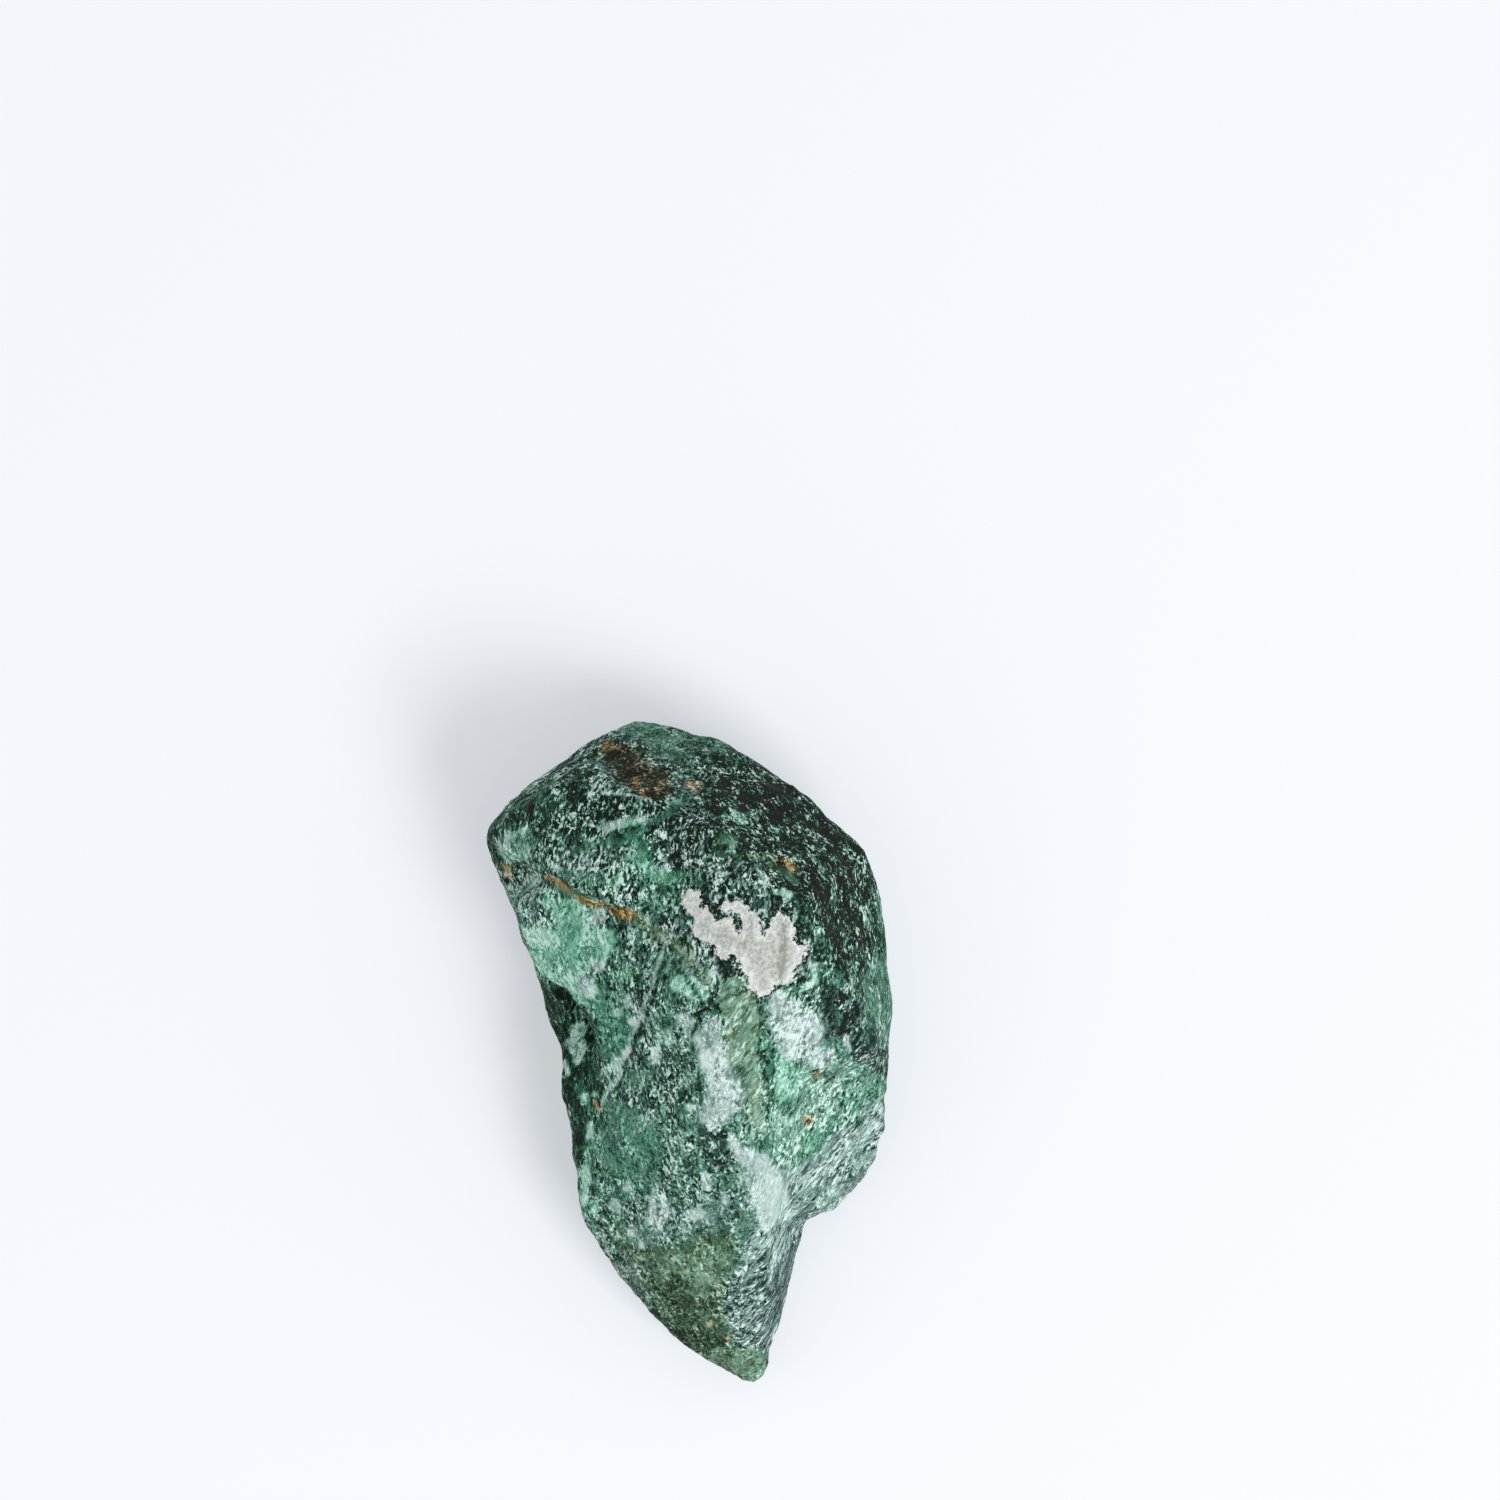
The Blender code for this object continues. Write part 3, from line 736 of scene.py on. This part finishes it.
def inside_outline(pixels, points):
    """True where a pixel lies inside the closed outline."""
    inside = np.zeros(len(pixels), bool)
    for (x0, y0), (x1, y1) in zip(points, points[1:] + points[:1]):
        crosses = (y0 > pixels[:, 1]) != (y1 > pixels[:, 1])
        if y0 != y1:
            at = x0 + (pixels[:, 1] - y0) * (x1 - x0) / (y1 - y0)
            inside ^= crosses & (pixels[:, 0] < at)
    return inside


def depth_inside(pixels, points):
    """Pixels in from the outline's edge, negative outside it."""
    depth = distance_to_route(pixels, points, closed=True)
    return np.where(inside_outline(pixels, points), depth, -depth)


def ragged_pixels(places, pixels):
    """The pixels moved by noise, so an outline drawn in them comes out ragged."""
    moved = pixels.copy()
    for size, reach in RAGGED:
        moved[:, 0] += reach * noise_at(places, size, ACROSS_SHIFT)
        moved[:, 1] += reach * noise_at(places, size, DOWN_SHIFT)
    return moved


def near_route(pixels, points, full, gone):
    """1 up to the first distance from a line through the points, and 0 from the second on."""
    return 1.0 - ramp(distance_to_route(pixels, points, closed=False), full, gone)


def plain_fields(places):
    """The plain finish on every vertex."""
    return np.tile(np.array(BODY_LOW), (len(places), 1))


def paint(fields, finish, cover):
    fields += (np.array(finish) - fields) * cover[:, None]


def top_fields(places):
    """The markings seen from above, as one value per vertex for each field of a finish."""
    pixels = ragged_pixels(places, photo_pixels(places))
    fields = plain_fields(places)
    for finish, outline, edge in AREAS:
        paint(fields, finish, ramp(depth_inside(pixels, outline), -edge / 2, edge / 2))
    for finish, strokes in STROKES:
        for stroke in strokes:
            full = stroke.half_width - STROKE_EDGE / 2
            paint(fields, finish, near_route(pixels, stroke.points, full, full + STROKE_EDGE))

    for changes, strokes in TOUCHES:
        for stroke in strokes:
            cover = near_route(pixels, stroke.points, 0.0, TOUCH_REACH * stroke.half_width)
            for name, change in changes.items():
                fields[:, Finish._fields.index(name)] += change * cover
    return fields


def side_fields(places):
    """The sides' finishes in patches, as one value per vertex for each field of a finish."""
    fields = plain_fields(places)
    for index, finish in enumerate(SIDE_FINISHES):
        patches = fractal_at(places, PATCH_SIZE, SHIFT * (index + 1))
        paint(fields, finish, ramp(patches, PATCH_STARTS, PATCH_FULL))
    return fields


def painted_fields(places, normals):
    """The markings seen from above on what faces up, and patches on the rest."""
    upward = normals[:, 2] + TURN_RAGGED * fractal_at(places, TURN_SIZE, SHIFT)
    seen = ramp(upward, LEAST_UPWARD, FULLY_UPWARD)
    sides = side_fields(places)
    return sides + (top_fields(places) - sides) * seen[:, None]


def chalk_depth(places, normals):
    """How far in from the chalk's edge a vertex lies, in mm, negative outside it."""
    depth = depth_inside(photo_pixels(places), CHALK_AREA) / PIXELS_PER_MM
    return np.where(normals[:, 2] > 0.0, depth, NO_CHALK)


def chalk_fold(places):
    """1 along the soft fold in the chalk, where shade is painted, fading to 0 beside it."""
    return near_route(photo_pixels(places), CHALK_FOLD, 0.0, CHALK_FOLD_WIDTH)


def write_attribute(piece, name, values):
    attribute = piece.data.attributes.new(name, "FLOAT", "POINT")
    attribute.data.foreach_set("value", values.astype(np.float32))


def weigh_relief(piece):
    """A vertex group that leaves the relief out of the flat spot and calms it on the chalk."""
    places = vertex_places(piece)
    chalk = ramp(chalk_depth(places, vertex_normals(piece)), -CALM_EDGE, CALM_EDGE)
    weights = ramp(places[:, 2], RELIEF_LOW, RELIEF_FULL)
    weights *= 1.0 - (1.0 - CALM_RELIEF) * chalk
    group = piece.vertex_groups.new(name="relief")
    steps = np.round(weights * RELIEF_STEPS).astype(int)
    for step in range(1, RELIEF_STEPS + 1):
        members = np.flatnonzero(steps == step)
        group.add(members.tolist(), step / RELIEF_STEPS, "REPLACE")


def add_relief(piece):
    """Chips, layer steps and grains, in the mesh itself."""
    weigh_relief(piece)
    turn = layer_axes().transposed().to_4x4()
    for name, basis, size, stretch, height in RELIEF:
        texture = bpy.data.textures.new(name, "CLOUDS")
        texture.noise_basis = basis
        texture.noise_scale = size
        texture.noise_depth = RELIEF_OCTAVES
        # An empty turned to the rock's layers and stretched along them places the texture.
        layers = bpy.data.objects.new(name, None)
        bpy.context.scene.collection.objects.link(layers)
        layers.matrix_world = turn @ Matrix.Diagonal((*[part * MM for part in stretch], 1.0))
        bpy.context.view_layer.update()
        apply_modifier(
            piece,
            "DISPLACE",
            texture=texture,
            texture_coords="OBJECT",
            texture_coords_object=layers,
            vertex_group="relief",
            mid_level=RELIEF_MIDDLE,
            strength=height * MM,
        )
        bpy.data.objects.remove(layers)
    piece.vertex_groups.clear()


def make_stone():
    """The rough stone: the CAD solid remeshed finely, with relief and the markings' attributes."""
    piece = copy_node("stone", "rough_stone")
    apply_modifier(piece, "SUBSURF", levels=1, render_levels=1)
    apply_modifier(piece, "REMESH", mode="VOXEL", voxel_size=VOXEL * MM)
    apply_modifier(piece, "SMOOTH", factor=SMOOTH_FACTOR, iterations=SMOOTH_ROUNDS)
    add_relief(piece)
    bpy.ops.object.shade_smooth()
    places = vertex_places(piece)
    normals = vertex_normals(piece)
    fields = painted_fields(places, normals)
    for column, name in enumerate(Finish._fields):
        write_attribute(piece, name, fields[:, column])
    write_attribute(piece, "chalk", chalk_depth(places, normals))
    write_attribute(piece, "fold", chalk_fold(places))
    return piece


# The stone's material.

# Colours from dark to light, each as (lightness on the screen, red, green, blue), in sRGB.
ROCK_COLORS = [
    (0.03, 1, 12, 7), (0.10, 3, 33, 24), (0.22, 30, 66, 56), (0.31, 49, 90, 77), (0.42, 79, 119, 106),
    (0.55, 115, 152, 141), (0.68, 152, 184, 175), (0.80, 186, 212, 205), (0.92, 217, 238, 233),
]
GREEN_COLORS = [
    (0.03, 1, 14, 6), (0.10, 2, 35, 19), (0.25, 26, 76, 54), (0.40, 58, 117, 93), (0.52, 86, 150, 121),
    (0.64, 116, 181, 154), (0.76, 156, 211, 189), (0.90, 208, 238, 225),
]
OLIVE_COLORS = [
    (0.03, 4, 10, 2), (0.10, 15, 31, 12), (0.20, 32, 58, 33), (0.30, 54, 84, 57), (0.40, 79, 111, 82),
    (0.52, 111, 142, 116), (0.64, 143, 171, 146), (0.78, 182, 208, 188), (0.92, 216, 236, 222),
]
RUST_COLORS = [
    (0.03, 6, 8, 2), (0.12, 32, 32, 10), (0.20, 60, 54, 20), (0.30, 98, 80, 30), (0.42, 142, 110, 44),
    (0.55, 176, 146, 84), (0.75, 206, 194, 158), (0.92, 236, 232, 220),
]
GREY_COLORS = [
    (0.05, 9, 17, 19), (0.15, 28, 42, 43), (0.31, 61, 86, 83), (0.44, 94, 119, 116),
    (0.52, 115, 138, 135), (0.61, 139, 162, 159), (0.71, 167, 188, 185), (0.82, 197, 215, 213),
    (0.92, 220, 237, 235),
]
# The chalk in painted shade and in painted light; its colour lies between the two.
CHALK_SHADED = (160, 167, 157)
CHALK_LIT = (251, 254, 250)
# Painted glints on the flakes of mica.
MICA_GLINT_COLOR = (214, 232, 228)
# Grains laid over the rock's own, in this order: (field of a finish, colours).
HUES = [("grey", GREY_COLORS), ("green", GREEN_COLORS), ("olive", OLIVE_COLORS), ("rust", RUST_COLORS)]

# Layers of noise: features in a mm, octaves, how rough they are, and where the noise is read.
Layer = namedtuple("Layer", "scale detail roughness shift", defaults=((0, 0, 0),))
WARP = Layer(1.2, 2.0, 0.5)
PALE_FLECKS = Layer(2.6, 3.0, 0.6)
DARK_FLECKS = Layer(2.7, 3.0, 0.65, (7, 3, 9))
PALE_CLUSTERS = Layer(0.6, 3.0, 0.6)
DARK_CLUSTERS = Layer(0.7, 3.0, 0.6, (4, 14, 2))
PALE_BLOBS = Layer(0.55, 2.0, 0.5, (1, 1, 30))
DARK_BLOBS = Layer(0.5, 3.0, 0.55, (1, 31, 1))
LIVELINESS = Layer(0.45, 3.0, 0.6, (31, 1, 1))
DRAWN_OUT = Layer(0.6, 4.0, 0.6, (5, 5, 50))
HUE_PATCHES = Layer(1.5, 4.0, 0.65)
CHALK_RAGGED = Layer(1.7, 4.0, 0.7)
# The chalk's relief noise: a bump, and painted relief shading in the chalk's colour.
CHALK_RELIEF_NOISE = Layer(2.2, 5.0, 0.65, (3, 60, 3))
FINE_BUMP = Layer(2.6, 4.0, 0.65)
COARSE_BUMP = Layer(0.8, 3.0, 0.6, (9, 9, 9))
# The middle of a noise layer's values.
NOISE_MIDDLE = 0.5

# Round and drawn-out grain: its size along each of the layers' axes, its turn, and where it is read.
Grain = namedtuple("Grain", "size turn shift")
ROUND_GRAIN = Grain((1.5, 1.0, 0.8), 0.0, (0, 0, 0))
LONG_GRAIN = Grain((2.3, 0.9, 0.6), -0.45, (40, 10, 5))
# Where noise and a finish's streak turn round grain into drawn-out grain.
DRAWN_OUT_STEP = (0.42, 0.58)
# How far in mm the flecks are warped, and how many single grains there are in a mm.
WARP_REACH = 0.9
GRAINS_PER_MM = 3.8
# Where noise turns into flecks and blobs, how strongly flecks cluster, and how frayed blobs are.
FLECK_STEP = (0.505, 0.56)
BLOB_STEP = (0.60, 0.65)
CLUSTERING = 0.45
FRAYING = 0.6
# What each kind adds to the grain, where pale is above zero and dark is below.
FLECK_WEIGHT = 2.1
GRAIN_WEIGHT = 1.9
PALE_BLOB_WEIGHT = 1.3
DARK_BLOB_WEIGHT = -1.2
CLUSTER_WEIGHT = 1.2
# Flecks are weaker in some places than in others: the noise's range, and the factor's.
LIVELY_NOISE = (0.4, 0.6)
LIVELY_FACTOR = (0.55, 1.35)

# Each hue lies in patches. Their noise is read at this gap in X from one hue to the next, and at
# one place in Y and Z. Its range becomes a factor's range, and a soft step gives the hue's share.
HUE_GAP = 20
HUE_PLACE = (1, 3)
HUE_NOISE = (0.35, 0.65)
HUE_FACTOR = (0.3, 1.7)
HUE_STEP = (0.1, 0.9)

# The chalk's edge, in mm: how ragged it is, how far it is let out, and where the chalk starts.
CHALK_REACH = 2.2
CHALK_GROWTH = 0.05
CHALK_STEP = (-0.03, 0.04)
# The rock just outside that edge is a little darker: a painted shadow, as the chalk's crust would cast.
SHADE_STEP = (-0.5, -0.05)
SHADE_WEIGHT = -0.1
# How lit the chalk looks from 0 to 1, between its shaded and lit colours: everywhere, as a painted
# highlight in its rim, as painted relief shading from its noise and as painted shade along its fold.
CHALK_BASE_LIGHTING = 0.19
RIM_HIGHLIGHT_STEP = (1.2, 0.1)
RIM_HIGHLIGHT_WEIGHT = 0.44
MOTTLE_SHADING_STEP = (0.34, 0.66)
MOTTLE_SHADING_WEIGHT = 0.5
FOLD_SHADE_WEIGHT = -0.45

# Mica: cells in a mm, which of them are flakes, how far a flake reaches, and how well its painted glint
# covers.
MICA_PER_MM = 3.3
MICA_CHANCE = (0.95, 0.97)
MICA_REACH = (0.45, 0.2)
MICA_GLINT_COVER = 0.6

ROCK_ROUGHNESS = 0.78
MICA_ROUGHNESS = 0.35
SPECULAR = 0.25
# The bump: how much coarse grain and chalk add to the fine grain, and its height in mm.
COARSE_WEIGHT = 1.2
CHALK_WEIGHT = 2.5
BUMP_STRENGTH = 1.0
BUMP_HEIGHT = 0.2


def linear(color):
    """An sRGB colour of 0 to 255 as linear RGBA."""
    part = np.array(color) / 255
    flat = np.where(part <= 0.04045, part / 12.92, ((part + 0.055) / 1.055) ** 2.4)
    return (*flat, 1.0)


def add_node(tree, kind, inputs=None, **settings):
    node = tree.nodes.new(kind)
    for name, value in settings.items():
        setattr(node, name, value)
    for socket, value in (inputs or {}).items():
        if isinstance(value, bpy.types.NodeSocket):
            tree.links.new(value, node.inputs[socket])
        else:
            node.inputs[socket].default_value = value
    return node


def math_node(tree, operation, *values):
    return add_node(tree, "ShaderNodeMath", dict(enumerate(values)), operation=operation).outputs[0]


def plus(tree, base, value, weight):
    """The base with the value added to it, times the weight."""
    return math_node(tree, "MULTIPLY_ADD", value, weight, base)


def centred(tree, value):
    """Noise from 0 to 1 as noise around zero."""
    return math_node(tree, "SUBTRACT", value, NOISE_MIDDLE)


def soft_step(tree, value, low, high):
    """0 before low, 1 past high and smooth between, also where high is the smaller."""
    inputs = {0: value, 1: low, 2: high}
    return add_node(tree, "ShaderNodeMapRange", inputs, interpolation_type="SMOOTHSTEP").outputs[0]


def rescaled(tree, value, source, target):
    """The value moved from one range to the other, and kept in it."""
    inputs = dict(enumerate((value, *source, *target)))
    return add_node(tree, "ShaderNodeMapRange", inputs).outputs[0]


def noise_layer(tree, vector, layer, output="Fac"):
    if any(layer.shift):
        moved = add_node(tree, "ShaderNodeVectorMath", {0: vector, 1: layer.shift}, operation="ADD")
        vector = moved.outputs[0]
    inputs = {
        "Vector": vector,
        "Scale": layer.scale,
        "Detail": layer.detail,
        "Roughness": layer.roughness,
    }
    return add_node(tree, "ShaderNodeTexNoise", inputs).outputs[output]


def attribute(tree, name):
    return add_node(tree, "ShaderNodeAttribute", attribute_name=name).outputs["Fac"]


def color_ramp(tree, value, colors):
    """A ramp through colours that each start with their place on it."""
    node = add_node(tree, "ShaderNodeValToRGB", {0: value})
    stops = node.color_ramp.elements
    while len(stops) > 1:
        stops.remove(stops[-1])
    stops[0].position = colors[0][0]
    stops[0].color = linear(colors[0][1:])
    for place, *color in colors[1:]:
        stops.new(place).color = linear(color)
    return node.outputs["Color"]


def mix_colors(tree, first, second, share):
    """The Mix node takes colours at its inputs 6 and 7, and gives one at its output 2."""
    inputs = {0: share, 6: first, 7: second}
    return add_node(tree, "ShaderNodeMix", inputs, data_type="RGBA").outputs[2]


def mix_values(tree, first, second, share):
    return add_node(tree, "ShaderNodeMix", {0: share, 2: first, 3: second}).outputs[0]


def grain_group():
    """Flecks of about unit spread on a vector in mm, in the frame of the rock's layers."""
    tree = bpy.data.node_groups.new("rock_grain", "ShaderNodeTree")
    tree.interface.new_socket("Vector", in_out="INPUT", socket_type="NodeSocketVector")
    tree.interface.new_socket("Flecks", in_out="OUTPUT", socket_type="NodeSocketFloat")
    base = add_node(tree, "NodeGroupInput").outputs["Vector"]
    inputs = {0: noise_layer(tree, base, WARP, output="Color"), 1: (WARP_REACH,) * 3, 2: base}
    warped = add_node(tree, "ShaderNodeVectorMath", inputs, operation="MULTIPLY_ADD").outputs[0]

    fine = noise_layer(tree, warped, PALE_FLECKS)
    clusters = centred(tree, noise_layer(tree, base, PALE_CLUSTERS))
    pale = soft_step(tree, plus(tree, fine, clusters, CLUSTERING), *FLECK_STEP)
    other = noise_layer(tree, warped, DARK_FLECKS)
    dark_clusters = centred(tree, noise_layer(tree, base, DARK_CLUSTERS))
    dark = soft_step(tree, plus(tree, other, dark_clusters, CLUSTERING), *FLECK_STEP)
    fray = centred(tree, fine)
    pale_blobs = plus(tree, noise_layer(tree, base, PALE_BLOBS), fray, FRAYING)
    dark_blobs = plus(tree, noise_layer(tree, base, DARK_BLOBS), fray, FRAYING)
    cells = add_node(tree, "ShaderNodeTexVoronoi", {"Vector": warped, "Scale": GRAINS_PER_MM})
    grains = add_node(tree, "ShaderNodeSeparateColor", {0: cells.outputs["Color"]}).outputs[0]
    lively = rescaled(tree, noise_layer(tree, base, LIVELINESS), LIVELY_NOISE, LIVELY_FACTOR)

    total = math_node(tree, "MULTIPLY", pale, FLECK_WEIGHT)
    total = plus(tree, total, dark, -FLECK_WEIGHT)
    total = plus(tree, total, centred(tree, grains), GRAIN_WEIGHT)
    total = math_node(tree, "MULTIPLY", total, lively)
    total = plus(tree, total, soft_step(tree, pale_blobs, *BLOB_STEP), PALE_BLOB_WEIGHT)
    total = plus(tree, total, soft_step(tree, dark_blobs, *BLOB_STEP), DARK_BLOB_WEIGHT)
    total = plus(tree, total, clusters, CLUSTER_WEIGHT)
    add_node(tree, "NodeGroupOutput", {"Flecks": total})
    return tree


def grain_flecks(tree, group, place, grain):
    inputs = {
        "Vector": place,
        "Scale": grain.size,
        "Rotation": (0.0, 0.0, grain.turn),
        "Location": grain.shift,
    }
    placed = add_node(tree, "ShaderNodeMapping", inputs, vector_type="TEXTURE").outputs[0]
    return add_node(tree, "ShaderNodeGroup", {"Vector": placed}, node_tree=group).outputs["Flecks"]


def rock_light(tree, place):
    """How light the rock with its flecks is on the screen, from 0 to 1."""
    group = grain_group()
    round_flecks = grain_flecks(tree, group, place, ROUND_GRAIN)
    long_flecks = grain_flecks(tree, group, place, LONG_GRAIN)
    drawn_out = centred(tree, noise_layer(tree, place, DRAWN_OUT))
    drawn_out = math_node(tree, "ADD", drawn_out, attribute(tree, "streak"))
    drawn_out = soft_step(tree, drawn_out, *DRAWN_OUT_STEP)
    flecks = mix_values(tree, round_flecks, long_flecks, drawn_out)
    return plus(tree, attribute(tree, "light"), flecks, attribute(tree, "spread"))


def rock_color(tree, place, light):
    """The rock's own colour with grains of the other hues over it, in patches."""
    color = color_ramp(tree, light, ROCK_COLORS)
    for index, (name, colors) in enumerate(HUES):
        layer = HUE_PATCHES._replace(shift=(HUE_GAP * index, *HUE_PLACE))
        patches = rescaled(tree, noise_layer(tree, place, layer), HUE_NOISE, HUE_FACTOR)
        share = math_node(tree, "MULTIPLY", patches, attribute(tree, name))
        share = soft_step(tree, share, *HUE_STEP)
        color = mix_colors(tree, color, color_ramp(tree, light, colors), share)
    return color


def chalk_edge(tree, place):
    """How far in from the chalk's ragged edge a place lies, in mm, negative outside it."""
    ragged = centred(tree, noise_layer(tree, place, CHALK_RAGGED))
    edge = plus(tree, attribute(tree, "chalk"), ragged, CHALK_REACH)
    return math_node(tree, "ADD", edge, CHALK_GROWTH)


def chalk_color(tree, edge, relief_noise):
    """Chalk with a painted highlight in its rim, painted relief shading, and painted shade along its
    fold.
    """
    chalk_lighting = plus(tree, CHALK_BASE_LIGHTING, soft_step(tree, edge, *RIM_HIGHLIGHT_STEP), RIM_HIGHLIGHT_WEIGHT)
    chalk_lighting = plus(tree, chalk_lighting, soft_step(tree, relief_noise, *MOTTLE_SHADING_STEP), MOTTLE_SHADING_WEIGHT)
    # Painted shade along the fold.
    chalk_lighting = plus(tree, chalk_lighting, attribute(tree, "fold"), FOLD_SHADE_WEIGHT)
    return mix_colors(tree, linear(CHALK_SHADED), linear(CHALK_LIT), chalk_lighting)


def mica_flakes(tree, place):
    """1 in the middle of each flake of mica and 0 between them."""
    cells = add_node(tree, "ShaderNodeTexVoronoi", {"Vector": place, "Scale": MICA_PER_MM})
    chance = add_node(tree, "ShaderNodeSeparateColor", {0: cells.outputs["Color"]}).outputs[0]
    near = soft_step(tree, cells.outputs["Distance"], *MICA_REACH)
    return math_node(tree, "MULTIPLY", soft_step(tree, chance, *MICA_CHANCE), near)


def rock_bump(tree, place, chalk_relief):
    """A normal with the fine and coarse grain and the chalk's relief in it."""
    coarse = noise_layer(tree, place, COARSE_BUMP)
    height = plus(tree, noise_layer(tree, place, FINE_BUMP), coarse, COARSE_WEIGHT)
    height = plus(tree, height, chalk_relief, CHALK_WEIGHT)
    inputs = {"Height": height, "Strength": BUMP_STRENGTH, "Distance": BUMP_HEIGHT * MM}
    return add_node(tree, "ShaderNodeBump", inputs).outputs[0]


def stone_material():
    """Green rock with dark, pale and coloured grains, a patch of white chalk, and mica flakes with
    painted glints.
    """
    material = bpy.data.materials.new("aventurine")
    material.use_nodes = True
    tree = material.node_tree
    tree.nodes.clear()
    # Places are in mm, in the frame of the rock's layers.
    inputs = {
        "Vector": add_node(tree, "ShaderNodeTexCoord").outputs["Object"],
        "Scale": (1 / MM,) * 3,
        "Rotation": layer_axes().to_euler(),
    }
    place = add_node(tree, "ShaderNodeMapping", inputs).outputs[0]

    edge = chalk_edge(tree, place)
    # The rock beside the chalk gets a painted shadow.
    light = plus(tree, rock_light(tree, place), soft_step(tree, edge, *SHADE_STEP), SHADE_WEIGHT)
    chalk = soft_step(tree, edge, *CHALK_STEP)
    # Relief noise on the chalk: its bump, and painted relief shading in its colour.
    relief_noise = noise_layer(tree, place, CHALK_RELIEF_NOISE)
    mica = mica_flakes(tree, place)
    color = mix_colors(tree, rock_color(tree, place, light), chalk_color(tree, edge, relief_noise), chalk)
    # The mica flakes get painted glints in the colour, and are glossier too.
    color = mix_colors(tree, color, linear(MICA_GLINT_COLOR), math_node(tree, "MULTIPLY", mica, MICA_GLINT_COVER))

    inputs = {
        "Base Color": color,
        "Roughness": mix_values(tree, ROCK_ROUGHNESS, MICA_ROUGHNESS, mica),
        "Normal": rock_bump(tree, place, math_node(tree, "MULTIPLY", chalk, relief_noise)),
        "Specular IOR Level": SPECULAR,
    }
    shader = add_node(tree, "ShaderNodeBsdfPrincipled", inputs)
    add_node(tree, "ShaderNodeOutputMaterial", {0: shader.outputs[0]})
    return material


# The floor, the lights and the camera.


def add_floor():
    bpy.ops.mesh.primitive_plane_add(size=FLOOR_SIDE, location=(0, 0, 0))
    floor = bpy.context.object
    floor.name = "floor"
    material = bpy.data.materials.new("floor_paper")
    material.use_nodes = True
    shader = material.node_tree.nodes["Principled BSDF"]
    shader.inputs["Base Color"].default_value = FLOOR_COLOR
    shader.inputs["Roughness"].default_value = FLOOR_ROUGHNESS
    shader.inputs["Emission Color"].default_value = FLOOR_GLOW_COLOR
    shader.inputs["Emission Strength"].default_value = FLOOR_GLOW
    floor.data.materials.append(material)


def add_lights():
    world = bpy.data.worlds.new("studio")
    world.use_nodes = True
    sky = world.node_tree.nodes["Background"]
    sky.inputs["Color"].default_value = SKY_COLOR
    sky.inputs["Strength"].default_value = SKY_STRENGTH
    bpy.context.scene.world = world
    bpy.ops.object.light_add(type="AREA", location=KEY_PLACE)
    key = bpy.context.object
    key.data.size = KEY_SIDE
    key.data.energy = KEY_POWER
    key.rotation_euler = (Vector(LIGHT_TARGET) - Vector(KEY_PLACE)).to_track_quat("-Z", "Y").to_euler()


def add_camera():
    place = (CAMERA_X * MM, CAMERA_Y * MM, CAMERA_HEIGHT * MM)
    bpy.ops.object.camera_add(location=place, rotation=(0, 0, 0))
    camera = bpy.context.object
    camera.data.sensor_width = SENSOR_WIDTH
    camera.data.lens = SENSOR_WIDTH * CAMERA_HEIGHT * PIXELS_PER_MM / PHOTO_SIDE
    camera.data.clip_start = CAMERA_CLIP_START
    camera.data.clip_end = CAMERA_CLIP_END
    bpy.context.scene.camera = camera


add_camera()
add_floor()
add_lights()
bpy.context.scene.view_settings.view_transform = "Standard"

stone = make_stone()
stone.data.materials.append(stone_material())
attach(stone, "root")
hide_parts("stone")
